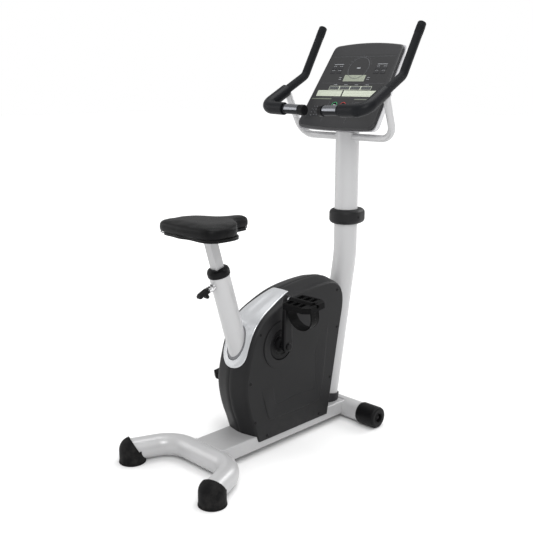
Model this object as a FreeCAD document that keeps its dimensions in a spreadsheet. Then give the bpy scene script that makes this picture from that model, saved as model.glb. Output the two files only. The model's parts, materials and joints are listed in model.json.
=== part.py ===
"""Upright exercise bike, millimetres.

X is the rider's right, Y the way the rider faces, Z up.  The floor is z = 0.
Stations along Y are counted from the crank axle, which stands at y = crank_y, so
that the origin lies on the floor under the middle of the whole bike.
"""
import FreeCAD, Part
import math
import os
import re
import Sketcher

V = FreeCAD.Vector
X, Y, Z = V(1, 0, 0), V(0, 1, 0), V(0, 0, 1)

SIZES = {
    # stations and heights
    "crank_y": -50.36, "crank_z": 388, "crank_length": 170, "crank_reach": 104,
    # base
    "beam_width": 140, "beam_height": 51, "beam_floor_gap": 24, "beam_wall": 3,
    "rear_tube_radius": 38, "rear_tube_z": 45, "rear_tube_y": -298, "rear_bend": 105,
    "foot_x": 210, "foot_y": -443, "foot_radius": 45, "tube_wall": 2.5,
    "front_tube_radius": 37, "front_tube_z": 40.5, "front_tube_y": 382.6, "front_tube_half": 138,
    "wheel_radius": 40.5, "wheel_inner_x": 141, "wheel_width": 81, "wheel_bore": 8.1,
    # mast
    "mast_radius": 44, "mast_top_y": 430, "mast_foot_y": 327.7, "mast_bend_z": 640, "mast_bend": 400,
    "mast_joint_z": 784, "collar_bottom_z": 757, "collar_height": 56, "collar_radius": 63,
    # seat tube and post
    "seat_tube_radius": 35, "seat_tube_foot_y": -40.4, "seat_tilt": 16.74, "seat_tube_length": 627,
    "post_side": 34, "post_clearance": 0.3, "post_insert": 265, "post_shown": 111,
    "seat_collar_radius": 38.5, "seat_collar_length": 27,
    # drive
    "shell_radius": 22, "shell_half": 34, "axle_radius": 10, "axle_half": 112,
    "pulley_radius": 110, "pulley_x": 44, "pulley_width": 14, "belt_width": 10, "belt_thickness": 3,
    "flywheel_y": 175, "flywheel_z": 230, "flywheel_radius": 105, "flywheel_width": 28,
    "small_pulley_radius": 22, "flywheel_shaft_radius": 8,
    "arm_thickness": 18, "arm_root_radius": 21, "arm_tip_radius": 15, "disc_radius": 54,
    "plate_x": 30, "plate_thickness": 4,
    # pedals
    "pedal_inner": 18, "pedal_width": 104, "pedal_half_length": 50, "pedal_thickness": 20,
    "pedal_shaft_radius": 7, "pedal_tilt": 7.4, "pedal_end": 18, "strap_width": 40, "strap_drop": 92,
    # shroud
    "shroud_half": 75, "shroud_crown": 16, "shroud_wall": 4, "skirt_z": 53,
    # handlebars
    "bar_radius": 12.5, "grip_radius": 15.8, "cover_radius": 23, "pulse_grip_radius": 17.5,
    "support_radius": 13,
    # console
    "console_y": 345, "console_z": 1126, "console_lean": 34.35, "console_half": 182,
    "console_top_half": 163, "console_height": 362, "console_arch": 2, "bezel_depth": 13,
    "housing_depth": 57, "panel_half": 152, "panel_bottom": 24, "panel_top": 308,
    # saddle
    "saddle_z": 802, "saddle_pad_height": 49, "saddle_rear": 115, "saddle_nose": 165,
    "saddle_half": 140, "nose_half": 36,
}

doc = FreeCAD.newDocument("exercise_bike")
dims = doc.addObject("Spreadsheet::Sheet", "dims")
for row, (alias, number) in enumerate(SIZES.items(), start=1):
    dims.set(f"A{row}", alias)
    dims.set(f"B{row}", str(number))
    dims.setAlias(f"B{row}", alias)
doc.recompute()


def formula(text):
    """An expression that names cells of the sheet, written with plain words."""
    return re.sub(r"[a-z_]\w+", lambda word: f"dims.{word[0]}" if word[0] in SIZES else word[0], str(text))


def size(text):
    """The number that an expression over the sheet stands for."""
    return float(doc.dims.evalExpression(formula(text)))


def at(x, y, z):
    """A point whose y is counted from the crank axle."""
    return V(x, y + size("crank_y"), z)


def bind(obj, **formulas):
    for name, text in formulas.items():
        obj.setExpression(name, formula(text))
    return obj


def facing(axis, base=V()):
    """The placement that turns local Z to an axis."""
    return FreeCAD.Placement(base, FreeCAD.Rotation(Z, axis))


# ---------------------------------------------------------------- primitives and booleans

def rod(label, radius, length, base, axis=Z):
    """Solid cylinder from base along axis."""
    obj = doc.addObject("Part::Cylinder", label)
    bind(obj, Radius=radius, Height=length)
    obj.Placement = facing(axis, base)
    return obj


def block(label, x, y, z, corner, rotation=FreeCAD.Rotation()):
    obj = doc.addObject("Part::Box", label)
    bind(obj, Length=x, Width=y, Height=z)
    obj.Placement = FreeCAD.Placement(corner, rotation)
    return obj


def ball(label, radius, centre):
    obj = doc.addObject("Part::Sphere", label)
    bind(obj, Radius=radius)
    obj.Placement.Base = centre
    return obj


def cut(label, base, *tools):
    """Base without its tools, taken away one after another."""
    for index, tool in enumerate(tools, start=1):
        obj = doc.addObject("Part::Cut", label if index == len(tools) else f"{label}_step_{index}")
        obj.Base = base
        obj.Tool = tool
        base = obj
    return base


def fuse(label, *shapes):
    obj = doc.addObject("Part::MultiFuse", label)
    obj.Shapes = list(shapes)
    return obj


def group(label, *shapes):
    """Like pieces that share one node as separate solids."""
    obj = doc.addObject("Part::Compound", label)
    obj.Links = list(shapes)
    return obj


def mirrored(label, source):
    """The same piece on the other side of the bike."""
    obj = doc.addObject("Part::Mirroring", label)
    obj.Source = source
    obj.Base = V()
    obj.Normal = X
    return obj


def both_sides(label, right):
    return group(label, right, mirrored(f"{label}_left", right))


def plain(label, shape):
    """A piece whose shape is worked out here."""
    obj = doc.addObject("Part::Feature", label)
    obj.Shape = shape
    return obj


def rounded(label, base, radius, chosen):
    """Base with the chosen edges filleted."""
    doc.recompute()
    obj = doc.addObject("Part::Fillet", label)
    obj.Base = base
    edges = [index for index, edge in enumerate(base.Shape.Edges, start=1) if chosen(edge)]
    obj.Edges = [(index, size(radius), size(radius)) for index in edges]
    return obj


def along(axis):
    """Test for straight edges that run along an axis."""
    def test(edge):
        if len(edge.Vertexes) != 2:
            return False
        run = edge.Vertexes[1].Point - edge.Vertexes[0].Point
        return run.Length > 1 and abs(run.normalize().dot(axis)) > 0.999
    return test


# ---------------------------------------------------------------- bodies and sketches

def new_body(label, placement=FreeCAD.Placement()):
    body = doc.addObject("PartDesign::Body", label)
    body.Placement = placement
    return body


def new_sketch(body, role, name, offset=0):
    """Sketch on one of the body's own origin planes."""
    sketch = body.newObject("Sketcher::SketchObject", name)
    plane = next(item for item in body.Origin.OriginFeatures if item.Role == role)
    sketch.AttachmentSupport = [(plane, "")]
    sketch.MapMode = "FlatFace"
    sketch.AttachmentOffset = FreeCAD.Placement(V(0, 0, size(offset)), FreeCAD.Rotation())
    return sketch


def hold(sketch, kind, *where, value):
    """A driving dimension bound to the sheet."""
    index = sketch.addConstraint(Sketcher.Constraint(kind, *where, size(value)))
    if re.search(r"[a-z]", str(value)):
        sketch.setExpression(f"Constraints[{index}]", formula(value))


def draw_circle(sketch, radius, x=0, y=0):
    centre = V(size(x), size(y), 0)
    ring = sketch.addGeometry(Part.Circle(centre, Z, size(radius)), False)
    hold(sketch, "Radius", ring, value=radius)
    hold(sketch, "DistanceX", -1, 1, ring, 3, value=x)
    hold(sketch, "DistanceY", -1, 1, ring, 3, value=y)


def draw_outline(sketch, points):
    """Closed outline of straight runs, each corner held by two dimensions."""
    corners = [V(size(x), size(y), 0) for x, y in points]
    lines = [sketch.addGeometry(Part.LineSegment(start, end), False)
             for start, end in zip(corners, corners[1:] + corners[:1])]
    for line, following in zip(lines, lines[1:] + lines[:1]):
        sketch.addConstraint(Sketcher.Constraint("Coincident", line, 2, following, 1))
    for line, (x, y) in zip(lines, points):
        hold(sketch, "DistanceX", -1, 1, line, 1, value=x)
        hold(sketch, "DistanceY", -1, 1, line, 1, value=y)


def pad(body, sketch, length, symmetric=False):
    feature = body.newObject("PartDesign::Pad", f"{sketch.Name}_pad")
    feature.Profile = sketch
    feature.SideType = "Symmetric" if symmetric else "One side"
    return bind(feature, Length=length)


def pocket(body, sketch, length=None):
    """Cut to a depth, or right through both ways where no depth is given."""
    feature = body.newObject("PartDesign::Pocket", f"{sketch.Name}_pocket")
    feature.Profile = sketch
    if length is None:
        feature.SideType = "Symmetric"
        feature.Type = "ThroughAll"
        return feature
    return bind(feature, Length=length)


def soften(body, radius, chosen):
    """Fillet the chosen edges of the body's tip."""
    doc.recompute()
    tip = body.Tip
    names = [f"Edge{index}" for index, edge in enumerate(tip.Shape.Edges, start=1) if chosen(edge)]
    feature = body.newObject("PartDesign::Fillet", f"{body.Name}_fillet")
    feature.Base = (tip, names)
    return bind(feature, Radius=radius)


def turned(label, profile, base, axis):
    """Piece turned about an axis, from (radius, station) pairs."""
    body = new_body(label, facing(axis, base))
    sketch = new_sketch(body, "XZ_Plane", f"{label}_section")
    draw_outline(sketch, profile)
    feature = body.newObject("PartDesign::Revolution", f"{label}_turn")
    feature.Profile = sketch
    feature.ReferenceAxis = (sketch, ["V_Axis"])
    feature.Angle = 360
    return body


def ring(label, outer, inner, length, base, axis):
    return turned(label, [(inner, 0), (outer, 0), (outer, length), (inner, length)], base, axis)


# ---------------------------------------------------------------- paths and tubes

def bent_path(points, bend):
    """Straight runs joined by tangent arcs."""
    edges = []
    start = points[0]
    for before, corner, after in zip(points, points[1:], points[2:]):
        way_in = (corner - before).normalize()
        way_out = (after - corner).normalize()
        turn = way_in.getAngle(way_out)
        reach = bend * math.tan(turn / 2)
        first = corner - way_in * reach
        last = corner + way_out * reach
        inward = (way_out - way_in).normalize()
        middle = corner + inward * (bend / math.cos(turn / 2) - bend)
        edges.append(Part.makeLine(start, first))
        edges.append(Part.Arc(first, middle, last).toShape())
        start = last
    edges.append(Part.makeLine(start, points[-1]))
    return Part.Wire(edges)


def swept_rod(label, path, radius):
    """Round bar along a path: a circle swept along a spine."""
    circle = doc.addObject("Part::Circle", f"{label}_ring")
    bind(circle, Radius=radius)
    first = path.Shape.Edges[0]
    circle.Placement = facing(first.tangentAt(first.FirstParameter), first.valueAt(first.FirstParameter))
    sweep = doc.addObject("Part::Sweep", label)
    sweep.Sections = [circle]
    sweep.Spine = (path, [f"Edge{index}" for index in range(1, len(path.Shape.Edges) + 1)])
    sweep.Solid = True
    sweep.Frenet = False
    return sweep


def bent_tube(label, points, bend, radius, inner):
    """Bent round tube: an outer bar with an inner one taken out."""
    path = plain(f"{label}_path", bent_path(points, size(bend)))
    outer = swept_rod(f"{label}_outer", path, radius)
    return cut(label, outer, swept_rod(f"{label}_bore", path, inner))


def oval(centre_a, radius_a, centre_b, radius_b):
    """Face bounded by two round ends and the lines tangent to both, in the YZ plane."""
    (ya, za), (yb, zb) = centre_a, centre_b
    span = math.hypot(yb - ya, zb - za)
    heading = math.atan2(zb - za, yb - ya)
    spread = math.acos((radius_a - radius_b) / span)

    def point(y, z, radius, angle):
        return at(0, y + radius * math.cos(angle), z + radius * math.sin(angle))

    left, right = heading + spread, heading - spread
    a_left, a_right = point(ya, za, radius_a, left), point(ya, za, radius_a, right)
    b_left, b_right = point(yb, zb, radius_b, left), point(yb, zb, radius_b, right)
    a_far = point(ya, za, radius_a, heading + math.pi)
    b_far = point(yb, zb, radius_b, heading)
    return Part.Face(Part.Wire([
        Part.Arc(a_left, a_far, a_right).toShape(), Part.makeLine(a_right, b_right),
        Part.Arc(b_right, b_far, b_left).toShape(), Part.makeLine(b_left, a_left)]))


# ---------------------------------------------------------------- directions of the seat tube

def seat_axis():
    lean = math.radians(size("seat_tilt"))
    return V(0, -math.sin(lean), math.cos(lean))


def seat_back():
    """Square to the seat tube, towards the rear."""
    lean = math.radians(size("seat_tilt"))
    return V(0, -math.cos(lean), -math.sin(lean))


def seat_point(height, off_axis=V()):
    """Point of the seat tube's centreline at a height above the floor."""
    run = (height - size("beam_floor_gap + beam_height")) / seat_axis().z
    return at(0, size("seat_tube_foot_y"), size("beam_floor_gap + beam_height")) + seat_axis() * run + off_axis


def seat_turn():
    return FreeCAD.Rotation(X, size("seat_tilt"))


# ---------------------------------------------------------------- base

def rear_arm():
    """Direction of the rear tube's right arm, from its foot inwards, and its ends."""
    heading = V(-0.375, 0.927, 0).normalize()
    foot = at(size("foot_x"), size("foot_y"), size("rear_tube_z"))
    reach = (size("rear_tube_y") - size("foot_y")) / heading.y
    return foot, heading, foot + heading * reach


def make_rear_stabilizer():
    foot, heading, corner = rear_arm()
    end = foot - heading * 18
    flip = lambda p: V(-p.x, p.y, p.z)
    bent_tube("rear_stabilizer", [end, corner, flip(corner), flip(end)], "rear_bend",
              "rear_tube_radius", "rear_tube_radius - tube_wall")


def make_rear_feet():
    """Rubber cup with a hood over the tube's end and a notch at its side."""
    foot, heading, _ = rear_arm()
    floor = V(foot.x, foot.y, 0)
    cup = rod("foot_cup", "foot_radius", "rear_tube_z", floor)
    hood = ball("foot_hood", "foot_radius", foot)
    socket = rod("foot_socket", "rear_tube_radius + 0.05", 130, foot - heading * 18, heading)
    across = heading.cross(Z)

    def station(run, height):
        return floor + heading * run + Z * height - across * 70

    notch = Part.Face(Part.makePolygon([station(16, 46), station(-12, 96), station(-12, 120),
                                        station(90, 120), station(90, 70), station(16, 46)]))
    wedge = plain("foot_notch", notch.extrude(across * 140))
    right = cut("rear_foot_right", fuse("foot_block", cup, hood), socket, wedge)
    both_sides("rear_feet", right)


def make_base_beam():
    length = "front_tube_y - rear_tube_y"
    corner = at(-size("beam_width") / 2, size("rear_tube_y"), size("beam_floor_gap"))
    outer = rounded("beam_outer", block("beam_block", "beam_width", length, "beam_height", corner), 5, along(Y))
    inner = block("beam_bore", "beam_width - 2 * beam_wall", length, "beam_height - 2 * beam_wall",
                  corner + V(size("beam_wall"), 0, size("beam_wall")))
    rear = rod("beam_rear_cope", "rear_tube_radius + 0.02", 200, at(-100, size("rear_tube_y"), size("rear_tube_z")), X)
    front = rod("beam_front_cope", "front_tube_radius + 0.02", 200,
                at(-100, size("front_tube_y"), size("front_tube_z")), X)
    cut("base_beam", outer, inner, rear, front)


def front_point(x):
    return at(x, size("front_tube_y"), size("front_tube_z"))


def make_front_stabilizer():
    half = size("front_tube_half")
    ring("front_stabilizer", "front_tube_radius", "front_tube_radius - tube_wall", "2 * front_tube_half",
         front_point(-half), X)
    plug = turned("front_plug_right", [(5, -28), ("front_tube_radius - tube_wall - 0.02", -28),
                                       ("front_tube_radius - tube_wall - 0.02", 0), ("front_tube_radius", 0),
                                       ("front_tube_radius", 2), (5, 2)], front_point(half), X)
    both_sides("front_tube_plugs", plug)
    bolt = turned("wheel_bolt_right", [(0, -24), (4.98, -24), (4.98, 2), (8, 2), (8, 66.3), (13, 66.3), (13, 74),
                                       (0, 74)], front_point(half), X)
    both_sides("wheel_axle_bolts", bolt)


def make_wheels():
    """Transport rollers: a thick black drum with a deep recess for the bolt's head."""
    profile = [("wheel_bore", 0), ("wheel_radius - 4", 0), ("wheel_radius - 1.2", 1.2), ("wheel_radius", 4),
               ("wheel_radius", "wheel_width - 8"), ("wheel_radius - 2.3", "wheel_width - 2.3"),
               ("wheel_radius - 8", "wheel_width"), (17, "wheel_width"), (17, "wheel_width - 18"),
               ("wheel_bore", "wheel_width - 18")]
    turned("wheel_right", profile, front_point(size("wheel_inner_x")), X)
    turned("wheel_left", profile, front_point(-size("wheel_inner_x")), -X)


# ---------------------------------------------------------------- mast

def mast_point(height):
    """Point on the mast's centreline."""
    bottom = size("beam_floor_gap + beam_height")
    slope = size("(mast_top_y - mast_foot_y) / (mast_bend_z - beam_floor_gap - beam_height)")
    return at(0, min(size("mast_foot_y") + slope * (height - bottom), size("mast_top_y")), height)


def mast_way():
    return (mast_point(200) - mast_point(100)).normalize()


def support_points():
    """Corner points of the bent tube that carries the handlebars, right side first."""
    return [at(233, 345, 1251.5), at(219, 421, 1084), at(-219, 421, 1084), at(-233, 345, 1251.5)]


def make_mast():
    bottom = size("beam_floor_gap + beam_height")
    points = [mast_point(bottom - 20), mast_point(size("mast_bend_z")), mast_point(size("mast_joint_z"))]
    tube = bent_tube("mast_lower_tube", points, "mast_bend", "mast_radius", "mast_radius - tube_wall")
    below = block("mast_foot_trim", 200, 260, 60, at(-100, 200, bottom - 60))
    front = rod("mast_front_cope", "front_tube_radius + 0.02", 200, front_point(-100), X)
    cut("mast_lower", tube, below, front)
    joint = mast_point(size("mast_joint_z"))
    outer = rod("mast_upper_outer", "mast_radius", 500, joint)
    inner = rod("mast_upper_bore", "mast_radius - tube_wall", 500, joint)
    cross = rod("mast_support_hole", "support_radius + 0.02", 200, at(-100, 421, 1084), X)
    behind = size("bezel_depth + housing_depth")
    corners = [(-14, 400), (-17, -11), (17.2, -behind), (17.2, -behind - 3.4), (500, -behind - 3.4), (500, 400),
               (-14, 400)]
    room = Part.Face(Part.makePolygon([V(-200, run, out) for run, out in corners])).extrude(X * 400)
    trim = plain("mast_head_trim", room)
    trim.Placement = console_placement()
    cut("mast_upper", outer, inner, cross, trim)


def make_mast_boot():
    """Dark ring round the mast's foot."""
    bottom = size("beam_floor_gap + beam_height")
    outer = rod("boot_outer", "mast_radius + 6", 50, mast_point(bottom - 20), mast_way())
    inner = rod("boot_bore", "mast_radius + 0.05", 70, mast_point(bottom - 30), mast_way())
    below = block("boot_trim", 200, 260, 60, at(-100, 200, bottom - 59.95))
    front = rod("boot_front_cope", "front_tube_radius + 0.1", 200, front_point(-100), X)
    cut("mast_boot", outer, inner, below, front)


def make_mast_collar():
    """Egg-shaped two-part cover over the joint of the mast, bulging forwards."""
    radius = size("collar_radius")
    centre = size("mast_top_y")
    face = oval((centre, 0), radius, (centre + 24, 0), radius - 6)
    face.rotate(at(0, centre, 0), Y, -90)
    face.translate(Z * size("collar_bottom_z"))
    egg = face.extrude(Z * size("collar_height"))
    rims = [edge for edge in egg.Edges if edge.BoundBox.ZLength < 0.01]
    egg = egg.makeFillet(17, rims)
    egg = egg.cut(Part.makeCylinder(size("mast_radius") + 0.05, 200, at(0, centre, size("collar_bottom_z") - 50)))
    split = Part.makeBox(200, 200, 200, at(-100, centre + 0.15, size("collar_bottom_z") - 50))
    plain("mast_collar_front", egg.common(split))
    split.translate(V(0, -200.3, 0))
    plain("mast_collar_rear", egg.common(split))


# ---------------------------------------------------------------- seat tube and its fittings

PIN_HEIGHT = 636


def pin_axis_point(run):
    """Point on the locking pin's axis, at a distance behind the seat tube's centreline."""
    return seat_point(PIN_HEIGHT) + seat_back() * run


def make_seat_tube():
    bottom = size("beam_floor_gap + beam_height")
    start = seat_point(bottom - 20)
    outer = rod("seat_tube_outer", "seat_tube_radius", "seat_tube_length + 20.9", start, seat_axis())
    inner = rod("seat_tube_bore", "seat_tube_radius - tube_wall", "seat_tube_length + 30", start, seat_axis())
    below = block("seat_tube_trim", 200, 200, 60, at(-100, -140, bottom - 60))
    hole = rod("seat_tube_pin_hole", 6.05, 60, pin_axis_point(0), seat_back())
    cut("seat_tube", outer, inner, below, hole)
    sleeve = rod("bushing_outer", "seat_tube_radius - tube_wall - 0.02", 170, seat_point(495), seat_axis())
    side = "post_side + 2 * post_clearance"
    bore = square_bar("bushing_bore", side, 200, seat_point(490))
    pin_hole = rod("bushing_pin_hole", 6.05, 60, pin_axis_point(0), seat_back())
    cut("seat_tube_bushing", sleeve, bore, pin_hole)


def square_bar(label, side, length, base):
    """Square bar along the seat tube, standing on its centreline."""
    half = size(side) / 2
    corner = base + seat_turn().multVec(V(-half, -half, 0))
    return block(label, side, side, length, corner, seat_turn())


def make_seat_collar():
    """Rounded cap over the seat tube's mouth, with a square opening for the post."""
    top = seat_point(size("beam_floor_gap + beam_height")) + seat_axis() * size("seat_tube_length + 2.4")
    cap = turned("seat_collar_cap", [
        ("seat_tube_radius + 0.05", 0), ("seat_collar_radius - 1", 0), ("seat_collar_radius", 2),
        ("seat_collar_radius", "seat_collar_length - 12"), ("seat_collar_radius - 3", "seat_collar_length - 5"),
        ("seat_collar_radius - 9", "seat_collar_length - 1"), ("seat_collar_radius - 14", "seat_collar_length"),
        (0, "seat_collar_length"), (0, 16), ("seat_tube_radius + 0.05", 16)],
        top - seat_axis() * 16, seat_axis())
    bore = square_bar("seat_collar_bore", "post_side + 2 * post_clearance", 120, top - seat_axis() * 40)
    cut("seat_collar", cap, bore)


def make_locking_pin():
    """Spring pin that locks the post: a ferrule on the tube, a plunger and a lever."""
    ferrule = turned("pin_ferrule", [(6, 0), (12, 0), (12, 9), (13.5, 9), (13.5, 15), (11, 17), (11, 27), (6, 27)],
                     pin_axis_point(34), seat_back())
    saddle_cut = rod("ferrule_cope", "seat_tube_radius + 0.02", 100, seat_point(PIN_HEIGHT - 50), seat_axis())
    cut("pin_housing", ferrule, saddle_cut)
    turned("pin_plunger", [(0, 17.5), (3.9, 17.5), (3.9, 20), (5.9, 20), (5.9, 62.5), (4, 62.5), (4, 78), (0, 78)],
           pin_axis_point(0), seat_back())
    body = new_body("pin_lever", FreeCAD.Placement(pin_axis_point(0), FreeCAD.Rotation(X, 180 + size("seat_tilt"))))
    sketch = new_sketch(body, "YZ_Plane", "lever_outline")
    draw_outline(sketch, [(63, -8), (73, -8), (100, -4), (106, 2), (105, 9), (98, 11), (87, 8), (81, 11), (77, 22),
                          (70, 23), (66, 19), (69, 9), (63, 8)])
    # the local axes are turned so that +Y points along the pin and +Z down the tube
    pad(body, sketch, 16, symmetric=True)
    hole = new_sketch(body, "XZ_Plane", "lever_hole")
    draw_circle(hole, 4.05)
    pocket(body, hole, 78.05)


def make_seat_post():
    """Square steel post with locking holes at its back, and the flange under the saddle."""
    top = seat_point(size("saddle_z") - 8)
    length = "post_insert + post_shown"
    foot = top - seat_axis() * size(length)
    outer = rounded("post_outer", square_bar("post_bar", "post_side", length, foot), 3, along(seat_axis()))
    inner = square_bar("post_bore", "post_side - 5", length, foot)
    holes = []
    for step in range(-2, 9):
        centre = pin_axis_point(0) - seat_axis() * (25 * step)
        holes.append(rod(f"post_hole_{step + 3}", 4.2, 30, centre, seat_back()))
    cut("seat_post", outer, inner, *holes)
    plug = square_bar("clamp_plug", "post_side - 5.04", 40, top - seat_axis() * 40)
    flange = block("clamp_flange", 62, 70, 8, V(-31, top.y - 35, size("saddle_z") - 8))
    above = block("clamp_plug_trim", 100, 200, 60, V(-50, top.y - 100, size("saddle_z") - 4))
    clear = cut("clamp_plug_cut", plug, above)
    post_room = cut("clamp_flange_cut", rounded("clamp_flange_round", flange, 6, along(Z)),
                    square_bar("clamp_post_room", "post_side + 0.04", length, foot))
    fuse("saddle_clamp", clear, post_room, block("clamp_cap", 62, 70, 3, V(-31, top.y - 35, size("saddle_z") - 3)))


# ---------------------------------------------------------------- saddle

def saddle_outline(inset):
    """Plan of the saddle: broad rounded wings behind, a step, and a narrow nose."""
    centre = seat_point(size("saddle_z")).y
    half = size("saddle_half") - inset
    nose = size("nose_half") - inset
    rear = centre - size("saddle_rear") + inset
    tip = centre + size("saddle_nose") - inset
    right = [V(0, rear, 0), V(half * 0.48, rear + 2, 0), V(half * 0.82, rear + 8, 0), V(half * 0.965, rear + 29, 0),
             V(half, rear + 62, 0), V(half * 0.99, rear + 98, 0), V(half * 0.89, rear + 129, 0),
             V(half * 0.64, rear + 153, 0), V(nose + 18, rear + 175, 0), V(nose + 3, rear + 204, 0),
             V(nose, tip - 40, 0), V(nose * 0.74, tip - 9, 0), V(0, tip, 0)]
    left = [V(-p.x, p.y, 0) for p in right[-2:0:-1]]
    curve = Part.BSplineCurve()
    curve.interpolate(right + left, PeriodicFlag=True)
    return Part.Wire([curve.toShape()])


def make_saddle():
    """Padded cushion on a plastic pan."""
    pan = Part.Face(saddle_outline(9)).extrude(Z * 8)
    pan.translate(Z * size("saddle_z"))
    plain("saddle_base", pan)
    pad_bottom = size("saddle_z") + 8.3
    sections = [(4, 0), (0, 10), (0, 24), (6, 36), (22, size("saddle_pad_height") - 4)]
    wires = []
    for inset, height in sections:
        wire = saddle_outline(inset)
        wire.translate(Z * (pad_bottom + height))
        wires.append(wire)
    plain("saddle_pad", Part.makeLoft(wires, True, False))


# ---------------------------------------------------------------- drive

def drive_point(x):
    return at(x, 0, size("crank_z"))


def flywheel_point(x):
    return at(x, size("flywheel_y"), size("flywheel_z"))


def make_drive_frame():
    """Two steel plates that carry the crank shell and the flywheel, welded to beam and seat tube."""
    bottom = "beam_floor_gap + beam_height"
    outline = [("seat_tube_foot_y", bottom), ("flywheel_y + 50", bottom), ("flywheel_y + 50", "flywheel_z + 20"),
               ("flywheel_y + 15", "flywheel_z + 45"), (34, "crank_z + 34"), (-30, "crank_z + 34"),
               ("seat_tube_foot_y - 95", "crank_z + 4")]
    plates = []
    for side, name in ((1, "right"), (-1, "left")):
        start = "plate_x" if side > 0 else "-plate_x - plate_thickness"
        body = new_body(f"drive_plate_{name}", FreeCAD.Placement(at(0, 0, 0), FreeCAD.Rotation()))
        sketch = new_sketch(body, "YZ_Plane", f"plate_outline_{name}", start)
        draw_outline(sketch, outline)
        pad(body, sketch, "plate_thickness")
        openings = new_sketch(body, "YZ_Plane", f"plate_openings_{name}")
        draw_circle(openings, "shell_radius + 0.02", 0, "crank_z")
        draw_circle(openings, 16.02, "flywheel_y", "flywheel_z")
        draw_circle(openings, 48, 40, 190)
        pocket(body, openings)
        tube = rod(f"plate_tube_cope_{name}", "seat_tube_radius + 0.02", 500, seat_point(50), seat_axis())
        plates.append(cut(f"drive_plate_{name}_coped", body, tube))
    shell = ring("crank_shell", "shell_radius", "shell_radius - 4", "2 * shell_half",
                 drive_point(-size("shell_half")), X)
    group("drive_frame", shell, *plates)


def make_drive_bearings():
    bearing = ring("crank_bearing_right", "shell_radius - 4.02", "axle_radius + 0.03", 12, drive_point(22), X)
    shaft_bearing = ring("shaft_bearing_right", 16, "flywheel_shaft_radius + 0.03", 10,
                         flywheel_point(size("plate_x") - 3), X)
    group("drive_bearings", bearing, mirrored("crank_bearing_left", bearing),
          shaft_bearing, mirrored("shaft_bearing_left", shaft_bearing))


def make_crank():
    """Axle, two arms, their bolt caps, the two hub discs and the belt pulley, all turning together."""
    rod("crank_axle", "axle_radius", "2 * axle_half", drive_point(-size("axle_half")), X)
    reach = size("crank_reach - arm_thickness / 2")
    for side, name, way in ((1, "right", 1), (-1, "left", -1)):
        pedal_z = size("crank_z") + way * size("crank_length")
        arm = plain(f"arm_{name}_blank", oval((0, size("crank_z")), size("arm_root_radius"), (0, pedal_z),
                                             size("arm_tip_radius")).extrude(X * size("arm_thickness")))
        arm.Placement.Base = X * (reach if side > 0 else -reach - size("arm_thickness"))
        soft = rounded(f"arm_{name}_soft", arm, 5, lambda edge: edge.BoundBox.XLength < 0.01)
        hole = rod(f"arm_{name}_axle_hole", "axle_radius + 0.02", 300, drive_point(-150), X)
        eye = rod(f"arm_{name}_eye", "pedal_shaft_radius + 0.02", 300, at(-150, 0, pedal_z), X)
        cut(f"crank_arm_{name}", soft, hole, eye)
    cap = turned("crank_cap_right", [(0, 0), (13, 0), (13, 3), (10, 5.5), (0, 5.5)],
                 drive_point(size("crank_reach + arm_thickness / 2")), X)
    both_sides("crank_caps", cap)
    disc = turned("crank_disc_right", [("axle_radius + 0.02", 0), ("disc_radius", 0), ("disc_radius", 4),
                                       ("disc_radius - 3", 6.5), ("disc_radius - 16", 6.5), ("disc_radius - 20", 3.5),
                                       (26, 3.5), (22, 16), ("axle_radius + 0.02", 16)],
                  drive_point(size("shroud_half") - 4), X)
    both_sides("crank_discs", disc)
    make_pulley("crank_pulley", "pulley_radius", "axle_radius", drive_point(size("pulley_x")), 5)


def make_pulley(label, radius, shaft, base, windows):
    """Belt pulley with a shallow groove for the belt and lightening holes."""
    body = turned(label if not windows else f"{label}_blank", [
        (f"{shaft} + 0.02", 0), (f"{radius} + 2.5", 0), (f"{radius} + 2.5", 1.6), (radius, 1.6),
        (radius, "pulley_width - 1.6"), (f"{radius} + 2.5", "pulley_width - 1.6"), (f"{radius} + 2.5", "pulley_width"),
        (f"{shaft} + 0.02", "pulley_width")], base, X)
    if windows:
        tools = []
        for step in range(windows):
            angle = 2 * math.pi * step / windows
            offset = V(-5, 62 * math.cos(angle), 62 * math.sin(angle))
            tools.append(rod(f"{label}_window_{step + 1}", 24, 30, base + offset, X))
        cut(label, body, *tools)


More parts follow.
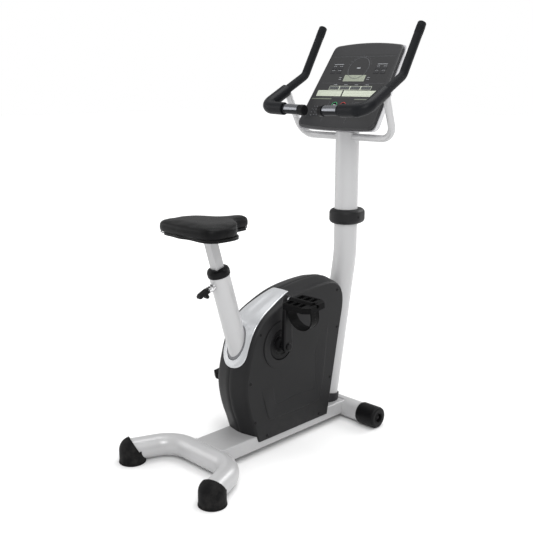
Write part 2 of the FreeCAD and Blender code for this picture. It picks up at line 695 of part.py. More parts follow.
def make_flywheel():
    half = size("flywheel_width") / 2
    turned("flywheel", [
        ("flywheel_shaft_radius + 0.02", "-flywheel_width / 2 + 4"), (24, "-flywheel_width / 2 + 4"), (24, -5),
        ("flywheel_radius - 28", -5), ("flywheel_radius - 24", "-flywheel_width / 2"),
        ("flywheel_radius", "-flywheel_width / 2"), ("flywheel_radius", "flywheel_width / 2"),
        ("flywheel_radius - 24", "flywheel_width / 2"), ("flywheel_radius - 28", 5), (24, 5),
        (24, "flywheel_width / 2 - 4"), ("flywheel_shaft_radius + 0.02", "flywheel_width / 2 - 4")],
        flywheel_point(0), X)
    rod("flywheel_shaft", "flywheel_shaft_radius", "plate_x + 8 + pulley_x + pulley_width",
        flywheel_point(-size("plate_x") - 8), X)
    make_pulley("flywheel_pulley", "small_pulley_radius", "flywheel_shaft_radius",
                flywheel_point(size("pulley_x")), 0)
    clearance = 0.3
    centres = ((0, size("crank_z")), size("pulley_radius")), ((size("flywheel_y"), size("flywheel_z")),
                                                            size("small_pulley_radius"))
    (big, big_radius), (small, small_radius) = centres
    inner = oval(big, big_radius + clearance, small, small_radius + clearance)
    thick = clearance + size("belt_thickness")
    outer = oval(big, big_radius + thick, small, small_radius + thick)
    belt = outer.cut(inner).extrude(X * size("belt_width"))
    belt.translate(X * size("pulley_x + pulley_width / 2 - belt_width / 2"))
    plain("drive_belt", belt)
    top = size("flywheel_z + flywheel_radius")
    yoke = block("magnet_block", "2 * plate_x", 60, 58, at(-size("plate_x"), size("flywheel_y") - 30, top - 36))
    slot = block("magnet_slot", "flywheel_width + 8", 80, 46, at(-half - 4, size("flywheel_y") - 40, top - 40))
    cut("brake_magnet", yoke, slot)


def make_pedals():
    """Each pedal is a frame with open windows, turning on its axle, with a strap that hangs under it."""
    shaft = turned("pedal_shaft_right", [
        (0, -18), ("pedal_shaft_radius", -18), ("pedal_shaft_radius", 0), (10, 0), (10, 5.5),
        ("pedal_shaft_radius - 1", 5.5), ("pedal_shaft_radius - 1", "pedal_inner + pedal_width - 33"),
        (0, "pedal_inner + pedal_width - 33")], at(size("crank_reach + arm_thickness / 2"), 0,
                                                  size("crank_z + crank_length")), X)
    left_shaft = mirrored("pedal_shaft_left", shaft)
    left_shaft.Placement.Base = Z * -2 * size("crank_length")
    group("pedal_axles", shaft, left_shaft)
    right = pedal_parts("right")
    for piece, name in zip(right, ("pedal_left", "pedal_strap_left")):
        mirror = mirrored(name, piece)
        mirror.Placement.Base = Z * -2 * size("crank_length")


def pedal_parts(name):
    inner = size("crank_reach + pedal_inner")
    centre = at(inner, 0, size("crank_z + crank_length"))
    tilt = FreeCAD.Rotation(X, size("pedal_tilt"))
    body = new_body(f"pedal_{name}_frame", FreeCAD.Placement(centre, tilt))
    plan = new_sketch(body, "XY_Plane", f"pedal_plan_{name}", -15)
    edge = size("pedal_half_length")
    draw_outline(plan, [(0, "-pedal_half_length + 8"), (8, "-pedal_half_length"),
                        ("pedal_width - 8", "-pedal_half_length"), ("pedal_width + pedal_end", "-pedal_half_length + 16"),
                        ("pedal_width + pedal_end", "pedal_half_length - 16"), ("pedal_width - 8", "pedal_half_length"),
                        (8, "pedal_half_length"), (0, "pedal_half_length - 8")])
    pad(body, plan, "pedal_thickness")
    windows = new_sketch(body, "XY_Plane", f"pedal_windows_{name}", -15)
    for near, far in ((14, edge - 9), (-edge + 9, -14)):
        for start, end in ((12, 32), (42, 62), (72, 88)):
            draw_outline(windows, [(start, near), (end, near), (end, far), (start, far)])
    slot = "strap_width / 2 + 0.3"
    draw_outline(windows, [("pedal_width - 0.1", f"-({slot})"), ("pedal_width + 3", f"-({slot})"),
                           ("pedal_width + 3", slot), ("pedal_width - 0.1", slot)])
    pocket(body, windows)
    bore = new_sketch(body, "YZ_Plane", f"pedal_bore_{name}")
    draw_circle(bore, "pedal_shaft_radius - 1 + 0.05")
    pocket(body, bore)
    barrel = rod(f"pedal_barrel_{name}", 11, "pedal_width - 1", centre, X)
    shaft_room = rod(f"pedal_shaft_room_{name}", "pedal_shaft_radius - 1 + 0.05", "pedal_width - 22",
                     centre - X * 1, X)
    pedal = cut(f"pedal_{name}", fuse(f"pedal_{name}_block", body, barrel), shaft_room)
    return pedal, strap(name, centre, tilt)


def strap(name, centre, tilt):
    """Rubber band from end to end of the pedal, hanging as a loop."""
    half = size("pedal_width") / 2 + 0.05
    drop = size("strap_drop")

    def loop(extra):
        side = half + extra
        return Part.Wire([Part.makeLine(V(-side, 0, 2), V(-side, 0, -38)),
                          Part.Arc(V(-side, 0, -38), V(0, 0, -drop - extra), V(side, 0, -38)).toShape(),
                          Part.makeLine(V(side, 0, -38), V(side, 0, 2)),
                          Part.makeLine(V(side, 0, 2), V(-side, 0, 2))])

    band = Part.Face(loop(2.6)).cut(Part.Face(loop(0)))
    solid = band.extrude(Y * size("strap_width"))
    solid = solid.cut(Part.makeBox(60, 100, 30, V(-60, -10, -7.5))).Solids[0]
    solid.translate(V(size("pedal_width") / 2, -size("strap_width") / 2, 0))
    obj = plain(f"pedal_strap_{name}", solid)
    obj.Placement = FreeCAD.Placement(centre, tilt).multiply(solid.Placement)
    return obj


# ---------------------------------------------------------------- shroud

# points of the shroud's side outline, from the rear foot over the top to the front foot
SIDE_POINTS = ((-92, 20), (-113, 75), (-128, 120), (-145, 165), (-157, 210), (-163, 255), (-160, 300), (-150, 345),
               (-134, 398), (-111, 447), (-76, 484), (-18, 515), (72, 547), (150, 560), (235, 565), (288, 559),
               (318, 538), (333, 504), (333, 465), (321, 400), (308, 333), (283, 200), (249, 20))


def side_profile(inset, x):
    """Side outline of the shroud at one station across it, pulled in by an inset."""
    spots = []
    last = len(SIDE_POINTS) - 1
    for index, (y, z) in enumerate(SIDE_POINTS):
        before = SIDE_POINTS[max(index - 1, 0)]
        after = SIDE_POINTS[min(index + 1, last)]
        run, rise = after[0] - before[0], after[1] - before[1]
        span = math.hypot(run, rise)
        lift = 0 if index in (0, last) else -inset * run / span
        spots.append(at(x, y + inset * rise / span, z + lift))
    curve = Part.BSplineCurve()
    curve.interpolate(spots)
    return Part.Wire([curve.toShape(), Part.makeLine(spots[-1], spots[0])])


def shroud_block(wall, shares=(-1, -0.93, -0.7, -0.35, 0, 0.35, 0.7, 0.93, 1)):
    """Closed block of the shroud's outer form less a wall: crowned across its width."""
    crown = size("shroud_crown")
    half = size("shroud_half")
    bow = (half ** 2 + crown ** 2) / (2 * crown)
    wires = []
    for share in shares:
        x = share * half
        drop = bow - math.sqrt(bow ** 2 - x ** 2)
        shoulder = 3.5 if abs(share) == 1 else 0
        station = x - math.copysign(wall, x) if abs(share) == 1 else x * (half - wall) / half
        wires.append(side_profile(drop - crown + shoulder + wall, station))
    return Part.makeLoft(wires, True, False)


def leaf(extra):
    """Prism through the sloping rear top, leaf-shaped in plan, square to the slope."""
    tip, front = at(0, -158, 314), at(0, 84, 556)
    slope = (front - tip).normalize()
    outward = V(0, -slope.z, slope.y)

    def spot(run, half):
        return tip + slope * run + X * half

    def flip(point):
        return V(-point.x, point.y, point.z)

    start, turn, wide, waist = spot(-extra, 0), spot(13, 38 + extra), spot(50, 58 + extra), spot(160, 58 + extra)
    end = spot(338, 38 + extra)
    wire = Part.Wire([Part.Arc(start, turn, wide).toShape(), Part.Arc(wide, waist, end).toShape(),
                      Part.makeLine(end, flip(end)), Part.Arc(flip(end), flip(waist), flip(wide)).toShape(),
                      Part.Arc(flip(wide), flip(turn), start).toShape()])
    face = Part.Face(wire)
    face.translate(outward * -40)
    return face.extrude(outward * 160)


SCREW_STATIONS = ((-97, 443), (-146, 278), (-124, 130), (-66, 66), (207, 66), (268, 197), (303, 387), (301, 530))


def make_shroud():
    """Two moulded half shells, a silver leaf over the rear slope and the screws."""
    half = size("shroud_half")
    wall = size("shroud_wall")
    bottom = size("beam_floor_gap + beam_height")
    outer = shroud_block(0, (0.2 / half, 0.35, 0.7, 0.93, 1))
    shell = outer.cut(shroud_block(wall, (-0.1, 0.35, 0.7, 0.93, 1)))
    shell = shell.cut(Part.makeBox(400, 800, 100, at(-200, -400, size("skirt_z") - 100)))
    beam_room = Part.makeBox(size("beam_width") + 1, 800, 60,
                             at(-size("beam_width + 1") / 2, -400, bottom + 0.3 - 60))
    hub_rim = Part.makeCylinder(84, 3.5, drive_point(half - 0.5), X)
    hub_room = Part.makeCylinder(size("disc_radius") + 1.5, 100, drive_point(half - 50), X)
    tube_room = Part.makeCylinder(size("seat_tube_radius") + 4.6, 500, seat_point(200), seat_axis())
    shell = shell.fuse(hub_rim).cut(beam_room).cut(hub_room)
    screws = []
    for y, z in SCREW_STATIONS:
        shell = shell.cut(Part.makeCylinder(5.5, 10, at(half - 2.4, y, z), X))
        shell = shell.cut(Part.makeCylinder(2.1, 20, at(half - 10, y, z), X))
        reach = 4.6 if z < bottom else 9.8
        screw = Part.makeCylinder(5.3, 1.6, at(half - 2.38, y, z), X).fuse(
            Part.makeCylinder(2, reach - 2, at(half - reach, y, z), X)).removeSplitter()
        screws += [screw, screw.mirror(V(), X)]
    plain("shroud_screws", Part.makeCompound(screws))
    shell = shell.cut(leaf(0.5)).cut(tube_room)
    shell = max(shell.Solids, key=lambda solid: solid.Volume)
    plain("shroud_right", shell)
    plain("shroud_left", shell.mirror(V(), X))
    cover = shroud_block(-1.2).cut(shroud_block(wall)).common(leaf(0)).cut(tube_room)
    plain("shroud_top_cover", max(cover.Solids, key=lambda solid: solid.Volume))
    gasket = Part.makeCylinder(size("seat_tube_radius") + 4.5, 500, seat_point(200), seat_axis())
    gasket = gasket.cut(Part.makeCylinder(size("seat_tube_radius") + 0.05, 500, seat_point(200), seat_axis()))
    gasket = gasket.common(shroud_block(-2.6).cut(shroud_block(wall + 2)))
    plain("seat_tube_gasket", max(gasket.Solids, key=lambda solid: solid.Volume))


# ---------------------------------------------------------------- handlebars

def bar_points():
    """Corner points of the right handlebar, from its top end to its inner end."""
    return [at(231.4, 546.4, 1483.6), at(231, 444, 1304), at(237, 229, 1190), at(44, 232, 1184)]


def on_run(start, end, share):
    return start + (end - start) * share


def make_handlebars():
    top, knee, corner, inner = bar_points()
    cover_start = on_run(knee, corner, 0.47)
    cover_end = on_run(corner, inner, 0.52)
    bar = bent_tube("bar_right", [on_run(top, knee, 0.02), knee, corner, on_run(corner, inner, 0.97)], 42,
                    "bar_radius", "bar_radius - 2")
    both_sides("handlebar_tubes", bar)
    support_room = rod("grip_support_room", "support_radius + 0.1", 60, support_points()[0],
                       support_points()[1] - support_points()[0])
    grip_path = plain("grip_path", bent_path([top, knee, cover_start], 42))
    bar_path = plain("bar_path", bent_path([on_run(top, knee, 0.018), knee, corner, inner], 42))
    bar_room = swept_rod("bar_room", bar_path, "bar_radius + 0.05")
    grip = cut("grip_right", swept_rod("grip_bar", grip_path, "grip_radius"), bar_room, support_room)
    both_sides("handlebar_grips", grip)
    cover_path = plain("cover_path", bent_path([on_run(cover_start, corner, 0.002), corner, cover_end], 42))
    cover_bar = swept_rod("cover_bar", cover_path, "cover_radius")
    across = (inner - corner).normalize()
    stub = rod("pulse_stub", "pulse_grip_radius", 90, cover_end - across * 2, across)
    cover = cut("cover_right", fuse("cover_block", cover_bar, stub), bar_room, support_room)
    both_sides("handlebar_covers", cover)
    plate_start = cover_end + across * 14
    sleeve = cut("pulse_sleeve", rod("pulse_outer", "pulse_grip_radius + 1.3", 62, plate_start, across),
                 rod("pulse_inner", "pulse_grip_radius + 0.05", 80, plate_start - across * 5, across))
    lower = block("pulse_lower_trim", 140, 60, 30, plate_start + V(-120, -30, -32))
    both_sides("pulse_sensors", cut("pulse_right", sleeve, lower))
    cap_start = cover_end + across * 88.1
    cap = cut("end_cap_right", rod("cap_outer", 19.5, 18, cap_start - across * 6, across),
              rod("cap_inner", "pulse_grip_radius + 0.05", 6.1, cap_start - across * 6.1, across),
              rod("cap_bar_room", "bar_radius + 0.05", 9, cap_start - across * 1, across))
    both_sides("handlebar_end_caps", rounded("end_cap_soft", cap, 3, lambda edge: is_end_rim(edge, cap_start, across)))


def is_end_rim(edge, base, across):
    middle = edge.CenterOfMass - base
    return abs(middle.dot(across) - 12) < 0.1 and edge.Length > 100


def make_handlebar_support():
    """Bent tube through the mast that carries both handlebars."""
    tube = bent_tube("support_tube", support_points(), 60, "support_radius", "support_radius - 2")
    top, knee, corner, inner = bar_points()
    right = rod("support_right_cope", "bar_radius + 0.02", 300, knee, corner - knee)
    cut("handlebar_support", tube, right, mirrored("support_left_cope", right))


# ---------------------------------------------------------------- console

def console_placement():
    """Local x across, y up the sloping face, z out of the face; the origin is at its lower edge."""
    base = at(0, size("console_y"), size("console_z"))
    return FreeCAD.Placement(base, FreeCAD.Rotation(X, 90 - size("console_lean")))


def console_outline(inset):
    """Rounded plate, wider at the bottom, arched at the top."""
    low = size("console_half") - inset
    high = size("console_top_half") - inset
    top = size("console_height") - inset
    low_edge = -4 + inset
    wire = Part.Wire([
        Part.Arc(V(-low, low_edge, 0), V(0, low_edge - 7, 0), V(low, low_edge, 0)).toShape(),
        Part.makeLine(V(low, low_edge, 0), V(high, top - 12, 0)),
        Part.Arc(V(high, top - 12, 0), V(0, top + size("console_arch"), 0), V(-high, top - 12, 0)).toShape(),
        Part.makeLine(V(-high, top - 12, 0), V(-low, low_edge, 0))])
    return wire


def console_slab(inset, front, depth, corner, back_inset=0):
    """Slab of the console's outline from a front level backwards."""
    ends = []
    for pulled, level in ((inset, front), (inset + back_inset, front - depth)):
        wire = console_outline(pulled)
        wire.translate(Z * level)
        ends.append(wire)
    slab = Part.makeLoft(ends, True, True)
    posts = [edge for edge in slab.Edges if edge.BoundBox.ZLength > depth * 0.9]
    return slab.makeFillet(corner, posts)


def set_in_console(label, shape):
    obj = plain(label, shape)
    obj.Placement = console_placement()
    return obj


def panel_slab(level, depth, grow=0):
    half = size("panel_half") + grow
    low, high = size("panel_bottom") - grow, size("panel_top") + grow
    return Part.makeBox(2 * half, high - low, depth, V(-half, low, level - depth))


WINDOWS = ((-50, 50, 191, 219), (-100, 100, 154, 171), (-148, -28, 126, 152), (-22, 148, 126, 152))
BUTTONS = (("start_button", -37), ("stop_button", 3))
BUTTON_RADIUS = 13
BUTTON_RUN = 88


def make_console():
    bezel_depth = size("bezel_depth")
    bezel = console_slab(0, 0, bezel_depth, 24)
    rim = [edge for edge in bezel.Edges if edge.BoundBox.ZLength < 0.01 and abs(edge.BoundBox.ZMax) < 0.01]
    bezel = bezel.makeFillet(7, rim)
    hollow = console_slab(4, -4, bezel_depth, 20)
    windows = [Part.makeBox(right - left, top - low, 60, V(left, low, -50)) for left, right, low, top in WINDOWS]
    holes = [Part.makeCylinder(BUTTON_RADIUS + 0.4, 60, V(x, BUTTON_RUN, -50)) for _, x in BUTTONS]
    bezel = bezel.cut(hollow).cut(panel_slab(1, 2.2, 0.05))
    panel = panel_slab(0, 1.15)
    for tool in windows + holes:
        bezel = bezel.cut(tool)
        panel = panel.cut(tool)
    set_in_console("console_front", bezel)
    set_in_console("console_panel", panel)
    lenses = [Part.makeBox(right - left - 0.1, top - low - 0.1, 3.4, V(left + 0.05, low + 0.05, -3.8))
              for left, right, low, top in WINDOWS]
    set_in_console("console_displays", Part.makeCompound(lenses))
    housing = console_slab(-4, -bezel_depth - 0.02, size("housing_depth"), 24, 34)
    cavity = console_slab(0, -bezel_depth + 2, size("housing_depth"), 21, 34)
    set_in_console("console_back", housing.cut(cavity))
    circuit = Part.makeBox(300, 220, 1.6, V(-150, 60, -13))
    chips = [Part.makeBox(28, 28, 3, V(x, y, -11.5)) for x, y in ((-110, 180), (-20, 235), (70, 100))]
    for chip in chips:
        circuit = circuit.fuse(chip)
    for _, x in BUTTONS:
        circuit = circuit.fuse(Part.makeBox(9, 9, 3.2, V(x - 4.5, BUTTON_RUN - 4.5, -11.5)))
    set_in_console("console_board", circuit)
    for name, x in BUTTONS:
        cap = Part.makeCylinder(BUTTON_RADIUS, 5.6, V(x, BUTTON_RUN, -4.6))
        flange = Part.makeCylinder(BUTTON_RADIUS + 2.5, 1.4, V(x, BUTTON_RUN, -6.2)).fuse(
            Part.makeCylinder(BUTTON_RADIUS, 1.7, V(x, BUTTON_RUN, -6)))
        set_in_console(name, cap.fuse(flange).removeSplitter())
    behind = bezel_depth + size("housing_depth") + 0.02
    plate = Part.makeBox(150, 110, 3.2, V(-75, 28, -behind - 3.2))
    bolts = [Part.makeCylinder(5, 3.2, V(x, y, -behind - 6.2)) for x in (-62, 62) for y in (40, 125)]
    for bolt in bolts:
        plate = plate.fuse(bolt)
    set_in_console("console_bracket", plate)


# ---------------------------------------------------------------- the whole bike

NODES = """rear_stabilizer rear_feet base_beam front_stabilizer front_tube_plugs wheel_axle_bolts
wheel_left wheel_right mast_lower mast_upper mast_boot mast_collar_front mast_collar_rear
seat_tube seat_tube_bushing seat_collar seat_tube_gasket pin_housing pin_plunger pin_lever
seat_post saddle_clamp saddle_base saddle_pad drive_frame drive_bearings crank_axle
crank_arm_left crank_arm_right crank_caps crank_discs crank_pulley pedal_axles pedal_left pedal_right
pedal_strap_left pedal_strap_right drive_belt flywheel flywheel_shaft flywheel_pulley
brake_magnet shroud_left shroud_right shroud_screws shroud_top_cover
handlebar_support handlebar_tubes handlebar_grips handlebar_covers pulse_sensors handlebar_end_caps
console_front console_back console_panel console_displays console_board console_bracket
start_button stop_button""".split()

MAKERS = (make_rear_stabilizer, make_rear_feet, make_base_beam, make_front_stabilizer, make_wheels, make_mast,
          make_mast_boot, make_mast_collar, make_seat_tube, make_seat_collar, make_locking_pin, make_seat_post,
          make_saddle, make_drive_frame, make_drive_bearings, make_crank, make_flywheel, make_pedals, make_shroud,
          make_handlebars, make_handlebar_support, make_console)


def check_and_write():
    doc.recompute()
    broken = [obj.Name for obj in doc.Objects if "Invalid" in obj.State or "Error" in obj.State]
    if broken:
        raise RuntimeError(f"failed objects: {broken}")
    os.makedirs("parts", exist_ok=True)
    whole = FreeCAD.BoundBox()
    for name in NODES:
        shape = doc.getObject(name).Shape
        if shape.isNull() or not shape.isValid() or not shape.Solids:
            raise RuntimeError(f"{name} has no valid solid")
        whole.add(shape.BoundBox)
        shape.exportStep(f"parts/{name}.step")
        print(name, len(shape.Solids), round(shape.Volume / 1000, 1))
    print("nodes", len(NODES), "box", whole)


for maker in MAKERS:
    maker()
check_and_write()
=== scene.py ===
import bpy
import bmesh
import json
import math
from mathutils import Matrix, Vector
from mathutils.bvhtree import BVHTree


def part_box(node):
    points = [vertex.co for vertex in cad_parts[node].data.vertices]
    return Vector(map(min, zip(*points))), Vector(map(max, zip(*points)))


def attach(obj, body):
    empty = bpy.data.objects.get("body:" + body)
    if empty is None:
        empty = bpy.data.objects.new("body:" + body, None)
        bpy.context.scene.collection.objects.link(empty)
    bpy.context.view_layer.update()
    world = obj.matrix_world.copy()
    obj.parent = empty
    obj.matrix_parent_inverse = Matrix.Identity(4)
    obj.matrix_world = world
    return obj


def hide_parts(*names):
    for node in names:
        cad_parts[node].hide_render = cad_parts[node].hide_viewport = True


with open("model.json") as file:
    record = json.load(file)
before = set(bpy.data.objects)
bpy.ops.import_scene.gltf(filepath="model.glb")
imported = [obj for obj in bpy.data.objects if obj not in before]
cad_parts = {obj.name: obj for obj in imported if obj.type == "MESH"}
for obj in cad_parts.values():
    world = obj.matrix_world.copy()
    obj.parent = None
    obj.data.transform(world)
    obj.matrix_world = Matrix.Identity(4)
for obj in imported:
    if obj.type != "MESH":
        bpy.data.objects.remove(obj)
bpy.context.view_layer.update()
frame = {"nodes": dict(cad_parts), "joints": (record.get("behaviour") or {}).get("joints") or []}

bl_info = {
    "name": "Exercise bike",
    "version": (1, 0, 0),
    "blender": (4, 5, 0),
    "location": "View3D > Sidebar > Exercise bike",
    "description": "Finishes an upright exercise bike: paint, mouldings, padding, console and fasteners",
    "category": "Object",
}

JOINTS = {joint["name"]: joint for joint in frame["joints"]}
CRANK = Vector(JOINTS["crank_spin"]["pos_m"])
SEAT_UP = Vector(JOINTS["seat_height"]["axis"]).normalized()
ACROSS, FORWARD, UP = Vector((1, 0, 0)), Vector((0, 1, 0)), Vector((0, 0, 1))
MM = 0.001


def at(x, y, z):
    """Millimetres to metres, with y counted from the crank axle."""
    return Vector((x * MM, CRANK.y + y * MM, z * MM))


# the console's sloping face: x across, s up the face, out of the face
FACE_OUT = -Vector(JOINTS["start_press"]["axis"]).normalized()
FACE_UP = FACE_OUT.cross(ACROSS).normalized()
if FACE_UP.z < 0:
    FACE_UP = -FACE_UP
FACE_BASE = at(0, 345, 1126)


def on_face(x, s, out=0.0):
    return FACE_BASE + Vector((x * MM, 0, 0)) + FACE_UP * (s * MM) + FACE_OUT * (out * MM)


# ------------------------------------------------------------------ settings

class BikeColours(bpy.types.PropertyGroup):
    tube: bpy.props.FloatVectorProperty(name="Tube paint", description="Silver-white paint of the tubes",
                                        default=(0.45, 0.45, 0.455), subtype="COLOR", min=0, max=1)
    beam: bpy.props.FloatVectorProperty(name="Beam paint", description="Silver-grey paint of the base beam",
                                        default=(0.42, 0.42, 0.425), subtype="COLOR", min=0, max=1)
    shroud: bpy.props.FloatVectorProperty(name="Shroud", description="Charcoal of the shroud and collars",
                                          default=(0.0095, 0.0095, 0.0102), subtype="COLOR", min=0, max=1)
    cover: bpy.props.FloatVectorProperty(name="Top cover", description="Silver lacquer of the top cover",
                                         default=(0.52, 0.53, 0.545), subtype="COLOR", min=0, max=1)
    rubber: bpy.props.FloatVectorProperty(name="Rubber", description="Black of feet, wheels and pedals",
                                          default=(0.0042, 0.0042, 0.0046), subtype="COLOR", min=0, max=1)


class SaddleSettings(bpy.types.PropertyGroup):
    pressure: bpy.props.FloatProperty(name="Fill pressure", description="How hard the foam fills the cover",
                                      default=1.2, min=0, max=20)
    voxel: bpy.props.FloatProperty(name="Cloth mesh",
                                   description="Size of the cover's mesh while it is filled",
                                   default=0.0045, unit="LENGTH", min=0.003, max=0.01)
    swell: bpy.props.FloatProperty(name="Swell limit", description="Furthest that the cover may swell",
                                   default=0.0025, unit="LENGTH", min=0, max=0.02)


class DetailSettings(bpy.types.PropertyGroup):
    screw_radius: bpy.props.FloatProperty(name="Screw head", description="Radius of the shroud's screw heads",
                                          default=0.0058, unit="LENGTH")
    key_width: bpy.props.FloatProperty(name="Key width", description="Width of a console key",
                                       default=0.022, unit="LENGTH")
    rib_count: bpy.props.IntProperty(name="Foot ribs", description="Ribs round each rubber foot", default=40,
                                     min=8)
    hole_pitch: bpy.props.FloatProperty(name="Strap hole pitch",
                                        description="Distance between the strap's holes",
                                        default=0.011, unit="LENGTH")


# ------------------------------------------------------------------ mesh helpers

def link(name, mesh, material=None, body=None):
    """A finished object of a mesh, riding on a body."""
    piece = bpy.data.objects.new(name, mesh)
    bpy.context.scene.collection.objects.link(piece)
    if material:
        mesh.materials.clear()
        mesh.materials.append(MATERIALS[material])
    if body:
        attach(piece, body)
    return piece


def mesh_of(name, points, faces, smooth=True):
    mesh = bpy.data.meshes.new(name)
    mesh.from_pydata([tuple(point) for point in points], [], faces)
    mesh.validate()
    shade(mesh, smooth)
    return mesh


def shade(mesh, smooth=True):
    for polygon in mesh.polygons:
        polygon.use_smooth = smooth


def from_bmesh(name, built, smooth=True):
    bmesh.ops.recalc_face_normals(built, faces=built.faces[:])
    mesh = bpy.data.meshes.new(name)
    built.to_mesh(mesh)
    built.free()
    shade(mesh, smooth)
    return mesh


def rings_to_mesh(name, rings, closed=False):
    """Skin over rings of equal length, each a closed loop; the ends are capped unless the skin closes."""
    count = len(rings[0])
    points = [point for loop in rings for point in loop]
    faces = []
    spans = len(rings) if closed else len(rings) - 1
    for row in range(spans):
        here, there = row * count, (row + 1) % len(rings) * count
        for step in range(count):
            following = (step + 1) % count
            faces.append((here + step, here + following, there + following, there + step))
    if not closed:
        faces.append(tuple(range(count))[::-1])
        faces.append(tuple((len(rings) - 1) * count + step for step in range(count)))
    return mesh_of(name, points, faces)


def turns(steps):
    """Angles evenly round a circle."""
    return [2 * math.pi * step / steps for step in range(steps)]


def circle(centre, across, up, radius, steps):
    """Points round a circle of a radius in millimetres."""
    return [centre + (across * math.cos(turn) + up * math.sin(turn)) * (radius * MM) for turn in turns(steps)]


def frame_along(direction, up=Vector((0, 0, 1))):
    """Two directions square to a third."""
    side = direction.cross(up)
    if side.length < 1e-4:
        side = direction.cross(Vector((0, 1, 0)))
    side.normalize()
    return side, side.cross(direction).normalized()


def lathe(name, profile, base, axis, steps=48):
    """Turned piece from (radius, station) pairs in millimetres; both ends reach the axis or close on themselves."""
    side, up = frame_along(axis)
    rings = [circle(base + axis * (station * MM), side, up, radius, steps) for radius, station in profile]
    mesh = rings_to_mesh(name, rings)
    built = bmesh.new()
    built.from_mesh(mesh)
    bmesh.ops.remove_doubles(built, verts=built.verts[:], dist=1e-6)
    bpy.data.meshes.remove(mesh)
    return from_bmesh(name, built)


def combine(name, meshes):
    built = bmesh.new()
    for mesh in meshes:
        built.from_mesh(mesh)
        bpy.data.meshes.remove(mesh)
    whole = bpy.data.meshes.new(name)
    built.to_mesh(whole)
    built.free()
    shade(whole)
    return whole


def rounded_plate(name, width, height, depth, corner, bevel, steps=5):
    """Plate in the XY plane with round corners and a softened front edge, its back at z = 0."""
    def outline(shrink, level):
        points = []
        for sx, sy, start in ((1, 1, 0), (-1, 1, 1), (-1, -1, 2), (1, -1, 3)):
            radius = max(corner - shrink, 0.0001)
            cx, cy = sx * (width / 2 - corner), sy * (height / 2 - corner)
            for step in range(steps + 1):
                turn = (start + step / steps) * math.pi / 2
                points.append(Vector((cx + radius * math.cos(turn), cy + radius * math.sin(turn), level)))
        return points
    rings = [outline(0, 0), outline(0, depth - bevel), outline(bevel * 0.3, depth - bevel * 0.3),
             outline(bevel, depth)]
    return rings_to_mesh(name, rings)


def placed_on_face(mesh, x, s, out):
    turn = Matrix((Vector((1, 0, 0)), FACE_UP, FACE_OUT)).transposed().to_4x4()
    mesh.transform(Matrix.Translation(on_face(x, s, out)) @ turn)
    return mesh


def catmull(points, per_span, closed=True):
    """Smooth loop of points through the given ones."""
    result = []
    count = len(points)
    spans = count if closed else count - 1
    for index in range(spans):
        if closed:
            p0, p1, p2, p3 = (points[(index + shift) % count] for shift in (-1, 0, 1, 2))
        else:
            p0, p1, p2, p3 = (points[min(max(index + shift, 0), count - 1)] for shift in (-1, 0, 1, 2))
        for step in range(per_span):
            t = step / per_span
            result.append(0.5 * ((2 * p1) + (p2 - p0) * t + (2 * p0 - 5 * p1 + 4 * p2 - p3) * t ** 2
                                 + (3 * p1 - p0 - 3 * p2 + p3) * t ** 3))
    if not closed:
        result.append(points[-1].copy())
    return result


def bead(name, path, radius, closed=False, sides=10, ripple=0.0):
    """Round bead along a path, with an optional ripple like a weld."""
    rings = []
    count = len(path)
    for index, point in enumerate(path):
        if closed:
            heading = path[(index + 1) % count] - path[index - 1]
        else:
            heading = path[min(index + 1, count - 1)] - path[max(index - 1, 0)]
        side, up = frame_along(heading.normalized(), Vector((0.31, 0.13, 0.94)))
        size = radius * (1 + ripple * math.sin(index * 2.1))
        rings.append(circle(point, side, up, size / MM, sides))
    return rings_to_mesh(name, rings, closed=closed)


def joined_copy(node, name):
    """Copy of a CAD node's mesh with its loose triangles merged."""
    built = bmesh.new()
    built.from_mesh(frame["nodes"][node].data)
    bmesh.ops.remove_doubles(built, verts=built.verts[:], dist=1e-5)
    return from_bmesh(name, built)


def remeshed(mesh, voxel):
    piece = bpy.data.objects.new("remesh_work", mesh)
    bpy.context.scene.collection.objects.link(piece)
    modifier = piece.modifiers.new("voxels", "REMESH")
    modifier.mode = "VOXEL"
    modifier.voxel_size = voxel
    modifier.use_smooth_shade = True
    result = evaluated_mesh(piece)
    bpy.data.objects.remove(piece)
    return result


def evaluated_mesh(piece):
    graph = bpy.context.evaluated_depsgraph_get()
    graph.update()
    return bpy.data.meshes.new_from_object(piece.evaluated_get(graph))


# ------------------------------------------------------------------ repeating details with geometry nodes

